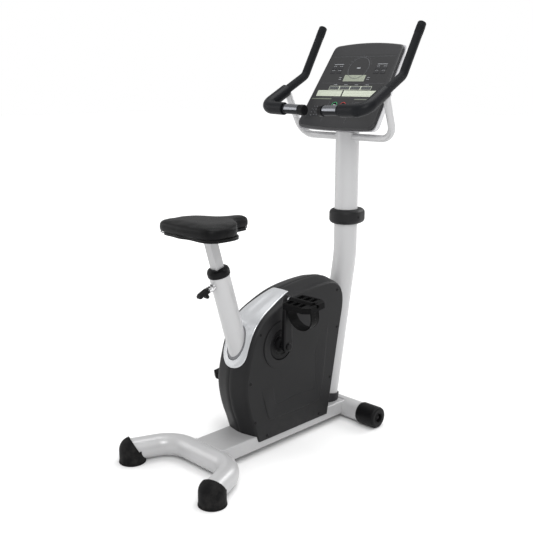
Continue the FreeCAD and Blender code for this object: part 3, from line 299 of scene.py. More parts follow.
def scatter_tree(name, cast, material):
    """Tree that sets one mesh on every point of the base mesh, turned to the point's normal attribute."""
    tree = bpy.data.node_groups.new(name, "GeometryNodeTree")
    tree.interface.new_socket("Geometry", in_out="INPUT", socket_type="NodeSocketGeometry")
    tree.interface.new_socket("Geometry", in_out="OUTPUT", socket_type="NodeSocketGeometry")
    size = tree.interface.new_socket("Size", in_out="INPUT", socket_type="NodeSocketFloat")
    size.default_value = 1.0
    spread = tree.interface.new_socket("Turn Spread", in_out="INPUT", socket_type="NodeSocketFloat")
    spread.default_value = 0.0
    source, result = tree.nodes.new("NodeGroupInput"), tree.nodes.new("NodeGroupOutput")

    def add(kind, **fed):
        """New node with its sockets fed by links or by values."""
        node = tree.nodes.new(kind)
        for label, value in fed.items():
            socket = node.inputs[label.replace("_", " ")]
            if isinstance(value, bpy.types.NodeSocket):
                tree.links.new(value, socket)
            else:
                socket.default_value = value
        return node

    cast_info = add("GeometryNodeObjectInfo", Object=cast)
    axis = add("GeometryNodeInputNamedAttribute")
    axis.data_type = "FLOAT_VECTOR"
    axis.inputs["Name"].default_value = "facing"
    align = add("FunctionNodeAlignRotationToVector", Vector=axis.outputs["Attribute"])
    align.axis = "Z"
    chance = add("FunctionNodeRandomValue", Seed=7)
    chance.inputs[2].default_value = -1.0
    chance.inputs[3].default_value = 1.0
    widen = maths(tree, "MULTIPLY", chance.outputs[1], source.outputs["Turn Spread"])
    swing = add("FunctionNodeAxisAngleToRotation", Axis=(0, 0, 1), Angle=widen)
    turn = add("FunctionNodeRotateRotation", Rotation=align.outputs["Rotation"],
               Rotate_By=swing.outputs["Rotation"])
    turn.rotation_space = "LOCAL"
    to_points = add("GeometryNodeMeshToPoints", Mesh=source.outputs["Geometry"])
    place = add("GeometryNodeInstanceOnPoints", Points=to_points.outputs["Points"],
                Instance=cast_info.outputs["Geometry"], Rotation=turn.outputs["Rotation"],
                Scale=source.outputs["Size"])
    realize = add("GeometryNodeRealizeInstances", Geometry=place.outputs["Instances"])
    paint = add("GeometryNodeSetMaterial", Geometry=realize.outputs["Geometry"], Material=material)
    tree.links.new(paint.outputs["Geometry"], result.inputs["Geometry"])
    return tree


def scatter(name, cast_mesh, places, material, body, size=1.0, turn_spread=0.0):
    """One mesh repeated at (point, facing) places, as a single plain piece on one body."""
    cast = bpy.data.objects.new(f"{name}_cast", cast_mesh)
    base = bpy.data.meshes.new(f"{name}_points")
    base.from_pydata([tuple(point) for point, _ in places], [], [])
    facing = base.attributes.new("facing", "FLOAT_VECTOR", "POINT")
    for index, (_, way) in enumerate(places):
        facing.data[index].vector = way
    holder = bpy.data.objects.new(f"{name}_holder", base)
    bpy.context.scene.collection.objects.link(holder)
    bpy.context.scene.collection.objects.link(cast)
    tree = scatter_tree(f"{name} repeat", cast, MATERIALS[material])
    modifier = holder.modifiers.new("repeat", "NODES")
    modifier.node_group = tree
    sockets = {item.name: item.identifier for item in tree.interface.items_tree if item.in_out == "INPUT"}
    modifier[sockets["Size"]] = size
    modifier[sockets["Turn Spread"]] = turn_spread
    mesh = evaluated_mesh(holder)
    mesh.name = name
    for attribute in [item.name for item in mesh.attributes if item.name == "facing"]:
        mesh.attributes.remove(mesh.attributes[attribute])
    bpy.data.objects.remove(holder)
    bpy.data.objects.remove(cast)
    shade(mesh)
    return link(name, mesh, None, body)


# ------------------------------------------------------------------ materials

def group_tree(name, inputs, outputs):
    """Empty shader group with its named sockets."""
    tree = bpy.data.node_groups.new(name, "ShaderNodeTree")
    for label, kind, value in inputs:
        socket = tree.interface.new_socket(label, in_out="INPUT", socket_type=f"NodeSocket{kind}")
        if value is not None:
            socket.default_value = value
    for label, kind in outputs:
        tree.interface.new_socket(label, in_out="OUTPUT", socket_type=f"NodeSocket{kind}")
    return tree, tree.nodes.new("NodeGroupInput"), tree.nodes.new("NodeGroupOutput")


def noise(tree, vector, scale, detail=4.0, rough=0.55):
    node = tree.nodes.new("ShaderNodeTexNoise")
    node.inputs["Scale"].default_value = scale
    node.inputs["Detail"].default_value = detail
    node.inputs["Roughness"].default_value = rough
    tree.links.new(vector, node.inputs["Vector"])
    return node


def cell_texture(tree, source, feature="F1"):
    """Cells over a group's own vector and scale."""
    cells = tree.nodes.new("ShaderNodeTexVoronoi")
    cells.feature = feature
    for label in ("Vector", "Scale"):
        tree.links.new(source.outputs[label], cells.inputs[label])
    return cells.outputs["Distance"]


def maths(tree, operation, first, second=None, clamp=False):
    node = tree.nodes.new("ShaderNodeMath")
    node.operation = operation
    node.use_clamp = clamp
    for index, value in enumerate((first, second)):
        if value is None:
            continue
        if isinstance(value, (int, float)):
            node.inputs[index].default_value = value
        else:
            tree.links.new(value, node.inputs[index])
    return node.outputs[0]


def ranged(tree, value, low, high, to_low, to_high):
    node = tree.nodes.new("ShaderNodeMapRange")
    for index, number in enumerate((low, high, to_low, to_high), start=1):
        if isinstance(number, (int, float)):
            node.inputs[index].default_value = number
        else:
            tree.links.new(number, node.inputs[index])
    tree.links.new(value, node.inputs[0])
    return node.outputs[0]


def mixed(tree, share, first, second):
    node = tree.nodes.new("ShaderNodeMix")
    node.data_type = "RGBA"
    tree.links.new(share, node.inputs["Factor"])
    for socket, value in ((node.inputs[6], first), (node.inputs[7], second)):
        if isinstance(value, (tuple, list)):
            socket.default_value = value
        else:
            tree.links.new(value, socket)
    return node.outputs[2]


def scaled(tree, vector, factor):
    node = tree.nodes.new("ShaderNodeVectorMath")
    node.operation = "SCALE"
    tree.links.new(vector, node.inputs[0])
    if isinstance(factor, (int, float)):
        node.inputs["Scale"].default_value = factor
    else:
        tree.links.new(factor, node.inputs["Scale"])
    return node.outputs[0]


def mottle_group():
    """Slow drift of colour and gloss over a surface, with fine specks and settled dust low down."""
    tree, source, result = group_tree(
        "Mottle", [("Vector", "Vector", None), ("Colour", "Color", (0.5, 0.5, 0.5, 1)),
                   ("Drift", "Float", 0.06),
                   ("Roughness", "Float", 0.4), ("Roughness Spread", "Float", 0.08), ("Dust", "Float", 0.0)],
        [("Colour", "Color"), ("Roughness", "Float")])
    slow = noise(tree, source.outputs["Vector"], 9.0, 3.0)
    fine = noise(tree, source.outputs["Vector"], 260.0, 2.0)
    both = maths(tree, "ADD", maths(tree, "MULTIPLY", slow.outputs[0], 0.7),
                 maths(tree, "MULTIPLY", fine.outputs[0], 0.3))
    swing = maths(tree, "MULTIPLY", maths(tree, "SUBTRACT", both, 0.5), 2.0)
    gain = maths(tree, "ADD", maths(tree, "MULTIPLY", swing, source.outputs["Drift"]), 1.0)
    tinted = scaled(tree, source.outputs["Colour"], gain)
    apart = tree.nodes.new("ShaderNodeSeparateXYZ")
    tree.links.new(source.outputs["Vector"], apart.inputs[0])
    low = ranged(tree, apart.outputs[2], 0.0, 0.16, 1.0, 0.0)
    patchy = ranged(tree, noise(tree, source.outputs["Vector"], 46.0, 6.0, 0.7).outputs[0], 0.42, 0.68, 0.0,
                    1.0)
    dust = maths(tree, "MULTIPLY", maths(tree, "MULTIPLY", low, patchy), source.outputs["Dust"])
    tree.links.new(mixed(tree, dust, tinted, (0.33, 0.31, 0.29, 1)), result.inputs["Colour"])
    spread = maths(tree, "MULTIPLY", swing, source.outputs["Roughness Spread"])
    rough = maths(tree, "ADD", maths(tree, "ADD", spread, source.outputs["Roughness"]),
                  maths(tree, "MULTIPLY", dust, 0.3))
    tree.links.new(maths(tree, "MINIMUM", rough, 1.0), result.inputs["Roughness"])
    return tree


def spark_group():
    """Moulded texture: fine pebbled grain as a height."""
    tree, source, result = group_tree("Moulded Grain",
                                      [("Vector", "Vector", None), ("Scale", "Float", 900.0)],
                                      [("Height", "Float")])
    cells = cell_texture(tree, source, "SMOOTH_F1")
    drift = noise(tree, source.outputs["Vector"], 400.0, 3.0)
    tree.links.new(maths(tree, "ADD", cells, maths(tree, "MULTIPLY", drift.outputs[0], 0.5)),
                   result.inputs["Height"])
    return tree


def peel_group():
    """Powder coat: the shallow ripple of baked paint as a height."""
    tree, source, result = group_tree("Paint Ripple", [("Vector", "Vector", None), ("Scale", "Float", 240.0)],
                                      [("Height", "Float")])
    soft = tree.nodes.new("ShaderNodeTexNoise")
    soft.inputs["Detail"].default_value = 1.5
    tree.links.new(source.outputs["Vector"], soft.inputs["Vector"])
    tree.links.new(source.outputs["Scale"], soft.inputs["Scale"])
    tree.links.new(soft.outputs[0], result.inputs["Height"])
    return tree


def hide_group():
    """Upholstery grain: irregular cells with thin valleys over a soft noise, as a height."""
    tree, source, result = group_tree("Upholstery Grain",
                                      [("Vector", "Vector", None), ("Scale", "Float", 620.0)],
                                      [("Height", "Float")])
    valley = ranged(tree, cell_texture(tree, source, "DISTANCE_TO_EDGE"), 0.0, 0.12, 1.0, 0.0)
    soft = noise(tree, source.outputs["Vector"], 60.0, 5.0)
    height = maths(tree, "SUBTRACT", maths(tree, "MULTIPLY", soft.outputs[0], 0.6),
                   maths(tree, "MULTIPLY", valley, 0.7))
    tree.links.new(height, result.inputs["Height"])
    return tree


def foam_group():
    """Skinned foam: tiny open cells as a height."""
    tree, source, result = group_tree("Foam Cells", [("Vector", "Vector", None), ("Scale", "Float", 1300.0)],
                                      [("Height", "Float")])
    pit = ranged(tree, cell_texture(tree, source), 0.1, 0.45, 0.0, 1.0)
    tree.links.new(pit, result.inputs["Height"])
    return tree


def brushed_group():
    """Turned metal: fine lines round the bike's cross axis, as a height."""
    tree, source, result = group_tree("Turned Lines",
                                      [("Vector", "Vector", None), ("Fineness", "Float", 2600.0)],
                                      [("Height", "Float")])
    stretch = tree.nodes.new("ShaderNodeVectorMath")
    stretch.operation = "MULTIPLY"
    stretch.inputs[1].default_value = (1.0, 0.04, 0.04)
    tree.links.new(source.outputs["Vector"], stretch.inputs[0])
    line = tree.nodes.new("ShaderNodeTexNoise")
    tree.links.new(stretch.outputs[0], line.inputs["Vector"])
    tree.links.new(source.outputs["Fineness"], line.inputs["Scale"])
    tree.links.new(line.outputs[0], result.inputs["Height"])
    return tree


GROUPS = {}
MATERIALS = {}


def colour4(colour):
    return (*tuple(colour)[:3], 1.0)


def finish(name, colour, roughness, relief=None, depth=0.0002, strength=0.4, scale=None, drift=0.06,
           spread=0.07, dust=0.0, **shader_values):
    """Procedural material: mottled colour and gloss, a relief group for the bump, constants on the shader."""
    material = bpy.data.materials.new(name)
    material.use_nodes = True
    tree = material.node_tree
    shader = tree.nodes["Principled BSDF"]
    place = tree.nodes.new("ShaderNodeTexCoord")
    mottle = tree.nodes.new("ShaderNodeGroup")
    mottle.node_tree = GROUPS["mottle"]
    tree.links.new(place.outputs["Object"], mottle.inputs["Vector"])
    mottle.inputs["Colour"].default_value = colour4(colour)
    for label, value in (("Drift", drift), ("Roughness", roughness), ("Roughness Spread", spread),
                         ("Dust", dust)):
        mottle.inputs[label].default_value = value
    tree.links.new(mottle.outputs["Colour"], shader.inputs["Base Color"])
    tree.links.new(mottle.outputs["Roughness"], shader.inputs["Roughness"])
    if relief:
        height = tree.nodes.new("ShaderNodeGroup")
        height.node_tree = GROUPS[relief]
        tree.links.new(place.outputs["Object"], height.inputs["Vector"])
        if scale:
            height.inputs[1].default_value = scale
        bump = tree.nodes.new("ShaderNodeBump")
        bump.inputs["Strength"].default_value = strength
        bump.inputs["Distance"].default_value = depth
        tree.links.new(height.outputs["Height"], bump.inputs["Height"])
        tree.links.new(bump.outputs["Normal"], shader.inputs["Normal"])
    for label, value in shader_values.items():
        shader.inputs[label.replace("_", " ")].default_value = value
    material.diffuse_color = colour4(colour)
    MATERIALS[name] = material
    return material


def make_materials(colours):
    GROUPS.update(mottle=mottle_group(), grain=spark_group(), peel=peel_group(), hide=hide_group(),
                  foam=foam_group(), turned=brushed_group())
    finish("Tube Paint", colours.tube, 0.36, "peel", 0.0002, 0.12, 260, 0.02, 0.05, dust=0.10,
           Metallic=0.15, Coat_Weight=0.2, Coat_Roughness=0.25)
    finish("Beam Paint", colours.beam, 0.38, "peel", 0.0002, 0.12, 260, 0.03, 0.05, dust=0.16,
           Metallic=0.15, Coat_Weight=0.2, Coat_Roughness=0.25)
    finish("Shroud Plastic", colours.shroud, 0.5, "grain", 0.00012, 0.35, 1100, 0.10, 0.08, dust=0.03,
           Specular_IOR_Level=0.2)
    finish("Cover Lacquer", colours.cover, 0.26, "peel", 0.0001, 0.08, 500, 0.03, 0.03,
           Metallic=0.45, Coat_Weight=0.6, Coat_Roughness=0.08)
    finish("Black Plastic", (0.004, 0.004, 0.0044), 0.42, "grain", 0.0001, 0.3, 1300, 0.12, 0.08, dust=0.02,
           Specular_IOR_Level=0.12)
    finish("Grey Plastic", (0.02, 0.02, 0.022), 0.48, "grain", 0.0001, 0.3, 1200, 0.08, 0.06,
           Specular_IOR_Level=0.2)
    finish("Gasket Rubber", (0.14, 0.142, 0.15), 0.5, "grain", 0.0001, 0.3, 1200, 0.08, 0.06)
    finish("Console Plastic", (0.022, 0.022, 0.0235), 0.42, "grain", 0.0001, 0.3, 1200, 0.08, 0.06,
           Specular_IOR_Level=0.35)
    finish("Housing Plastic", (0.46, 0.455, 0.475), 0.34, "grain", 0.00008, 0.2, 900, 0.02, 0.04,
           Metallic=0.25, Coat_Weight=0.25, Coat_Roughness=0.2)
    finish("Panel Film", (0.022, 0.022, 0.023), 0.3, "peel", 0.00006, 0.06, 700, 0.06, 0.03,
           Specular_IOR_Level=0.35)
    finish("Foot Rubber", colours.rubber, 0.6, "grain", 0.00015, 0.4, 700, 0.15, 0.08, dust=0.05,
           Specular_IOR_Level=0.1)
    finish("Pedal Rubber", (0.0025, 0.0025, 0.0027), 0.5, "grain", 0.00012, 0.35, 900, 0.14, 0.1,
           Specular_IOR_Level=0.06)
    finish("Foam Grip", (0.004, 0.0046, 0.0058), 0.66, "foam", 0.0002, 0.6, 1300, 0.1, 0.06,
           Sheen_Weight=0.05,
           Specular_IOR_Level=0.1)
    finish("Cover Rubber", (0.0048, 0.0054, 0.0068), 0.42, "grain", 0.0001, 0.3, 1400, 0.1, 0.06,
           Specular_IOR_Level=0.14)
    finish("Saddle Vinyl", (0.0035, 0.0035, 0.0038), 0.42, "hide", 0.0002, 0.4, 620, 0.15, 0.07,
           Specular_IOR_Level=0.1)
    finish("Bare Steel", (0.52, 0.53, 0.54), 0.34, "turned", 0.0001, 0.3, 2600, 0.05, 0.08, Metallic=1.0)
    finish("Bright Steel", (0.72, 0.72, 0.73), 0.16, "turned", 0.00004, 0.15, 3200, 0.03, 0.04, Metallic=1.0)
    finish("Pulse Steel", (0.19, 0.195, 0.21), 0.28, "turned", 0.00006, 0.35, 2400, 0.04, 0.06, Metallic=1.0)
    finish("Black Steel", (0.0045, 0.0045, 0.005), 0.4, "peel", 0.0002, 0.2, 300, 0.1, 0.08,
           Specular_IOR_Level=0.15)
    finish("Cast Iron", (0.10, 0.10, 0.105), 0.46, "grain", 0.0003, 0.5, 380, 0.12, 0.1, Metallic=0.9)
    finish("Nylon", (0.62, 0.62, 0.58), 0.5, "grain", 0.0001, 0.2, 900, 0.04, 0.05)
    finish("Belt Rubber", (0.016, 0.016, 0.016), 0.7, "grain", 0.0002, 0.4, 700, 0.1, 0.05)
    finish("Circuit Board", (0.015, 0.11, 0.045), 0.4, "peel", 0.0001, 0.1, 300, 0.1, 0.06)
    finish("Display Glass", (0.235, 0.255, 0.205), 0.16, "peel", 0.00002, 0.05, 300, 0.04, 0.02,
           Specular_IOR_Level=0.3)
    finish("Strip Window", (0.44, 0.47, 0.39), 0.3, "peel", 0.00003, 0.05, 500, 0.04, 0.03)
    finish("Smoked Window", (0.05, 0.052, 0.055), 0.12, "peel", 0.00002, 0.05, 300, 0.04, 0.02)
    finish("Legend Ink", (0.36, 0.37, 0.39), 0.45, None, drift=0.04)
    finish("Dim Ink", (0.07, 0.073, 0.08), 0.4, None, drift=0.04)
    finish("Dark Segment", (0.13, 0.145, 0.115), 0.3, None, drift=0.04)
    finish("Green Key", (0.03, 0.30, 0.11), 0.34, "grain", 0.00005, 0.15, 1500, 0.06, 0.05)
    finish("Red Key", (0.42, 0.03, 0.03), 0.34, "grain", 0.00005, 0.15, 1500, 0.06, 0.05)
    finish("Lamp Lens", (0.10, 0.13, 0.12), 0.3, None, drift=0.04)
    # near-black for the strap holes and vent slots: painted shade standing in for their dark insides
    finish("Painted Hole Shade", (0.004, 0.004, 0.004), 0.7, None, drift=0.04)
    floor = finish("Studio Floor", (0.9, 0.9, 0.9), 0.8, None, drift=0.004, spread=0.02,
                   Emission_Strength=1.0)
    # painted glow: the floor's emission rises from none 1.2 m from the origin to 0.6 at 3.8 m, whitening the far
    # floor
    tree = floor.node_tree
    place = tree.nodes.new("ShaderNodeTexCoord")
    away = tree.nodes.new("ShaderNodeVectorMath")
    away.operation = "LENGTH"
    tree.links.new(place.outputs["Object"], away.inputs[0])
    glow = ranged(tree, away.outputs["Value"], 1.2, 3.8, 0.0, 0.6)
    tree.links.new(glow, tree.nodes["Principled BSDF"].inputs["Emission Color"])


NODE_FINISH = {
    "Tube Paint": "rear_stabilizer front_stabilizer mast_lower mast_upper seat_tube handlebar_support",
    "Beam Paint": "base_beam seat_post",
    "Shroud Plastic": "shroud_left shroud_right mast_collar_front mast_collar_rear",
    "Cover Lacquer": "shroud_top_cover",
    "Grey Plastic": "mast_boot",
    "Gasket Rubber": "seat_tube_gasket",
    "Black Plastic": "front_tube_plugs seat_collar pin_lever saddle_base crank_discs crank_pulley handlebar_end_caps "
                     "crank_caps start_button stop_button wheel_left wheel_right",
    "Foot Rubber": "rear_feet",
    "Pedal Rubber": "pedal_left pedal_right pedal_strap_left pedal_strap_right",
    "Foam Grip": "handlebar_grips",
    "Cover Rubber": "handlebar_covers",
    "Saddle Vinyl": "saddle_pad",
    "Bare Steel": "pin_plunger crank_axle pedal_axles flywheel_shaft flywheel_pulley drive_bearings",
    "Bright Steel": "pin_housing",
    "Pulse Steel": "pulse_sensors",
    "Black Steel": "wheel_axle_bolts saddle_clamp drive_frame crank_arm_left crank_arm_right brake_magnet shroud_screws "
                   "handlebar_tubes console_bracket",
    "Cast Iron": "flywheel",
    "Nylon": "seat_tube_bushing",
    "Belt Rubber": "drive_belt",
    "Console Plastic": "console_front",
    "Housing Plastic": "console_back",
    "Panel Film": "console_panel",
    "Strip Window": "console_displays",
    "Circuit Board": "console_board",
}


class BIKE_OT_finishes(bpy.types.Operator):
    """Build every finish and give each carried-over node its own"""
    bl_idname = "bike.finishes"
    bl_label = "Finishes"

    def execute(self, context):
        make_materials(context.scene.bike_colours)
        for finish_name, nodes in NODE_FINISH.items():
            for node in nodes.split():
                mesh = frame["nodes"][node].data
                mesh.materials.clear()
                mesh.materials.append(MATERIALS[finish_name])
        return {"FINISHED"}


# ------------------------------------------------------------------ saddle

SADDLE_HALF, NOSE_HALF, SADDLE_REAR, SADDLE_NOSE = 140, 36, 115, 165


def saddle_plan(inset):
    """Plan of the saddle about the post: broad wings behind, a step and a narrow nose, in metres."""
    half, nose = SADDLE_HALF - inset, NOSE_HALF - inset
    rear, tip = -SADDLE_REAR + inset, SADDLE_NOSE - inset
    right = [(0, rear), (half * 0.48, rear + 2), (half * 0.82, rear + 8), (half * 0.965, rear + 29),
             (half, rear + 62),
             (half * 0.99, rear + 98), (half * 0.89, rear + 129), (half * 0.64, rear + 153),
             (nose + 18, rear + 175),
             (nose + 3, rear + 204), (nose, tip - 40), (nose * 0.74, tip - 9), (0, tip)]
    corners = [Vector((x, y, 0)) for x, y in right] + [Vector((-x, y, 0)) for x, y in right[-2:0:-1]]
    return [point * MM for point in catmull(corners, 8)]


def saddle_blank():
    """The cover before it is filled: flat underside, upright wall, soft shoulder and a low crown."""
    low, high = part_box("saddle_pad")
    centre = Vector((0, low.y + SADDLE_REAR * MM, 0))
    floor, top = low.z + 0.0008, high.z - 0.0025
    rows = [(26, floor), (6, floor), (2.6, floor + 0.0012), (1.4, floor + 0.005), (0.8, floor + 0.015),
            (1.0, floor + 0.026), (3.2, floor + 0.034), (8, top - 0.0052), (15, top - 0.0021),
            (24, top - 0.001)]
    rings = [[centre + point + Vector((0, 0, level)) for point in saddle_plan(inset)] for inset,
             level in rows]
    hub = centre + Vector((0, 0.012, 0))
    for share in (0.74, 0.5, 0.27, 0.08):
        ring = []
        for point in rings[len(rows) - 1]:
            flat = Vector((point.x, point.y, 0))
            spot = hub + (flat - hub) * share
            ring.append(Vector((spot.x, spot.y, top - 0.001 * share)))
        rings.append(ring)
    return rings_to_mesh("saddle_blank", rings)


def fill_with_foam(mesh, settings, floor):
    """Cloth under pressure, held at its underside, with the swell capped."""
    start = [vertex.co.copy() for vertex in mesh.vertices]
    piece = bpy.data.objects.new("saddle_fill", mesh)
    bpy.context.scene.collection.objects.link(piece)
    held = piece.vertex_groups.new(name="held")
    held.add([vertex.index for vertex in mesh.vertices if vertex.co.z < floor + 0.006], 1.0, "REPLACE")
    modifier = piece.modifiers.new("fill", "CLOTH")
    cloth = modifier.settings
    cloth.use_pressure = True
    cloth.uniform_pressure_force = settings.pressure
    cloth.effector_weights.gravity = 0
    cloth.vertex_group_mass = "held"
    cloth.quality = 5
    cloth.mass = 0.3
    cloth.tension_stiffness = 30
    cloth.compression_stiffness = 30
    cloth.bending_stiffness = 4
    scene = bpy.context.scene
    for step in range(1, 21):
        scene.frame_set(step)
    filled = evaluated_mesh(piece)
    bpy.data.objects.remove(piece)
    for vertex, before in zip(filled.vertices, start):
        move = vertex.co - before
        if move.length > settings.swell:
            vertex.co = before + move.normalized() * settings.swell
    scene.frame_set(1)
    return filled


def relax(mesh, times, factor=0.5):
    built = bmesh.new()
    built.from_mesh(mesh)
    for _ in range(times):
        bmesh.ops.smooth_vert(built, verts=built.verts[:], factor=factor, use_axis_x=True, use_axis_y=True,
                              use_axis_z=True)
    built.to_mesh(mesh)
    built.free()
    shade(mesh)


class BIKE_OT_saddle(bpy.types.Operator):
    """Fill the saddle's cover and add its welt"""
    bl_idname = "bike.saddle"
    bl_label = "Saddle"

    def execute(self, context):
        settings = context.scene.bike_saddle
        low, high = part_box("saddle_pad")
        cover = remeshed(saddle_blank(), settings.voxel)
        relax(cover, 3)
        cover = fill_with_foam(cover, settings, low.z)
        relax(cover, 9)
        cover.name = "saddle_cushion"
        cushion = link("saddle_cushion", cover, "Saddle Vinyl", "seat")
        smooth = cushion.modifiers.new("smooth", "SUBSURF")
        smooth.levels = smooth.render_levels = 1
        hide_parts("saddle_pad")
        centre = Vector((0, low.y + SADDLE_REAR * MM, 0))
        path = [centre + point + Vector((0, 0, low.z + 0.0016)) for point in saddle_plan(4.4)]
        link("saddle_welt", bead("saddle_welt", path, 0.0015, closed=True), "Saddle Vinyl",
             "seat")
        return {"FINISHED"}


# ------------------------------------------------------------------ stage

class BIKE_OT_stage(bpy.types.Operator):
    """Floor, soft lights and the camera"""
    bl_idname = "bike.stage"
    bl_label = "Stage"

    def execute(self, context):
        scene = context.scene
        reach = 24
        corners = [(-reach, -reach, 0), (reach, -reach, 0), (reach, reach, 0), (-reach, reach, 0)]
        floor = mesh_of("studio_floor", corners, [(0, 1, 2, 3)], False)
        floor.materials.append(MATERIALS["Studio Floor"])
        sweep = bpy.data.objects.new("studio_floor", floor)
        scene.collection.objects.link(sweep)
        world = bpy.data.worlds.new("Soft Studio")
        world.use_nodes = True
        nodes, links = world.node_tree.nodes, world.node_tree.links
        glow = nodes["Background"]
        glow.inputs["Color"].default_value = (1.0, 1.0, 1.0, 1)
        glow.inputs["Strength"].default_value = 0.62
        backdrop = nodes.new("ShaderNodeBackground")
        backdrop.inputs["Color"].default_value = (1.0, 1.0, 1.0, 1)
        rays = nodes.new("ShaderNodeLightPath")
        blend = nodes.new("ShaderNodeMixShader")
        links.new(rays.outputs["Is Camera Ray"], blend.inputs[0])
        links.new(glow.outputs[0], blend.inputs[1])
        links.new(backdrop.outputs[0], blend.inputs[2])
        links.new(blend.outputs[0], nodes["World Output"].inputs["Surface"])
        scene.world = world
        self.light("key", (2.6, -2.2, 3.2), (0, 0, 0.6), 1.8, 80)
        self.light("fill", (-2.8, -2.0, 2.0), (0, 0, 0.7), 2.4, 30)
        self.light("top", (0.2, 0.4, 3.6), (0, 0, 0.5), 2.4, 60)
        self.light("rim", (0.5, 3.2, 2.4), (0, 0, 0.9), 1.6, 40)
        camera_data = bpy.data.cameras.new("camera")
        camera_data.lens = 55.35
        camera_data.sensor_width = 36
        camera_data.clip_end = 60
        camera = bpy.data.objects.new("camera", camera_data)
        camera.location = at(1975.3, -1962.8, 1297.8)
        camera.rotation_euler = (math.radians(90 - 12.99), 0, math.radians(45.13))
        scene.collection.objects.link(camera)
        scene.camera = camera
        scene.view_settings.view_transform = "Standard"
        return {"FINISHED"}

    @staticmethod
    def light(name, place, aim, size, power):
        data = bpy.data.lights.new(name, "AREA")
        data.shape = "DISK"
        data.size = size
        data.energy = power
        lamp = bpy.data.objects.new(name, data)
        lamp.location = place
        lamp.rotation_euler = (Vector(aim) - Vector(place)).to_track_quat("-Z", "Y").to_euler()
        bpy.context.scene.collection.objects.link(lamp)


# ------------------------------------------------------------------ silver top cover

def smoothstep(value, low, high):
    share = min(max((value - low) / (high - low), 0.0), 1.0)
    return share * share * (3 - 2 * share)


class BIKE_OT_top_cover(bpy.types.Operator):
    """Silver leaf over the shroud's rear slope: soft edges, a channel up to its front and a lip round the tube"""
    bl_idname = "bike.top_cover"
    bl_label = "Top cover"

    def execute(self, context):
        tip, front = at(0, -158, 314), at(0, 84, 556)
        slope = (front - tip).normalized()
        outward = Vector((0, -slope.z, slope.y))
        foot = at(0, -40.4, 75)
        mesh = remeshed(joined_copy("shroud_top_cover", "cover_copy"), 0.0017)
        relax(mesh, 4)
        for vertex in mesh.vertices:
            reach = vertex.co - tip
            run = reach.dot(slope)
            side = abs(vertex.co.x)
            channel = 0.0055 * smoothstep(run, 0.150, 0.215) * (1 - smoothstep(run, 0.285, 0.335))
            share = min(side / 0.026, 1.0)
            sink = channel * (1 - share * share) ** 2
            off = vertex.co - foot
            radial = (off - SEAT_UP * off.dot(SEAT_UP)).length
            lip = 0.0022 * (1 - smoothstep(radial, 0.0405, 0.050))
            vertex.co += outward * (lip - sink)
        relax(mesh, 2)
        mesh.name = "top_cover"
        cover = link("top_cover", mesh, "Cover Lacquer", "frame")
        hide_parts("shroud_top_cover")
        return {"FINISHED"}


# ------------------------------------------------------------------ shroud

PANEL_EDGE = ((-97, 250), (-84, 200), (-69, 150), (-60, 129), (-42, 121), (30, 120), (110, 120), (185, 121),
              (206, 130), (215, 150), (231, 228), (243, 330), (256, 439))


def panel_skin(side):
    """Raised border of the side shell's field: a crisp step that fades inwards and towards both ends."""
    edge = catmull([Vector((0, y, z)) for y, z in PANEL_EDGE], 8, closed=False)
    middle = Vector((0, 90, 330))
    outer, inner = [], []
    for index, point in enumerate(edge):
        run = index / (len(edge) - 1)
        ends = smoothstep(run, 0.0, 0.12) * (1 - smoothstep(run, 0.86, 1.0))
        inwards = (middle - point).normalized()
        column, under = [], []
        for row, lift in ((0, 0), (0.7, 0.35), (1.5, 0.85), (2.4, 1.0), (8, 0.97), (18, 0.85), (30, 0.62),
                          (44, 0.3),
                          (56, 0.08), (64, -0.1)):
            spot = point + inwards * row
            rise = 2.4 * lift * ends - 0.12 * (1 - ends)
            column.append(at(side * (75 + rise), spot.y, spot.z))
            under.append(at(side * 74.2, spot.y, spot.z))
        outer.append(column)
        inner.append(under)
    rings = [column + under[::-1] for column, under in zip(outer, inner)]
    mesh = rings_to_mesh("panel_skin", rings)
    built = bmesh.new()
    built.from_mesh(mesh)
    bpy.data.meshes.remove(mesh)
    return from_bmesh("panel_skin", built)


SCREWS = ((-97, 443), (-146, 278), (-124, 130), (-66, 66), (207, 66), (268, 197), (303, 387), (301, 530))


def cross_head():
    """Pan screw head with a cross recess, its seat at z = 0."""
    built = bmesh.new()
    steps = 32
    rings = []
    for radius, level in ((1.0, 0.0), (1.0, 0.16), (0.9, 0.34), (0.72, 0.44), (0.5, 0.48)):
        ring = []
        for step in range(steps):
            turn = 2 * math.pi * step / steps
            ring.append(built.verts.new((radius * math.cos(turn), radius * math.sin(turn), level)))
        rings.append(ring)
    for radius_far, radius_near, level in ((0.5, 0.16, 0.47), (0.42, 0.13, 0.16)):
        ring = []
        for step in range(steps):
            turn = 2 * math.pi * step / steps
            arm = max(abs(math.cos(turn)), abs(math.sin(turn))) > 0.955
            radius = radius_far if arm else radius_near / max(abs(math.cos(turn)), abs(math.sin(turn)))
            ring.append(built.verts.new((radius * math.cos(turn), radius * math.sin(turn), level)))
        rings.append(ring)
    for near, far in zip(rings, rings[1:]):
        for step in range(steps):
            following = (step + 1) % steps
            built.faces.new((near[step], near[following], far[following], far[step]))
    built.faces.new(rings[-1])
    built.faces.new(rings[0][::-1])
    return from_bmesh("cross_head", built, False)


def hex_head(height):
    """Hexagon head with a chamfered crown, its seat at z = 0."""
    rings = []
    for radius, level in ((1.0, 0.0), (1.0, height * 0.8), (0.88, height), (0.3, height)):
        rings.append([Vector((radius * math.cos(turn), radius * math.sin(turn), level)) for turn in turns(6)])
    mesh = rings_to_mesh("hex_head", rings)
    shade(mesh, False)
    return mesh


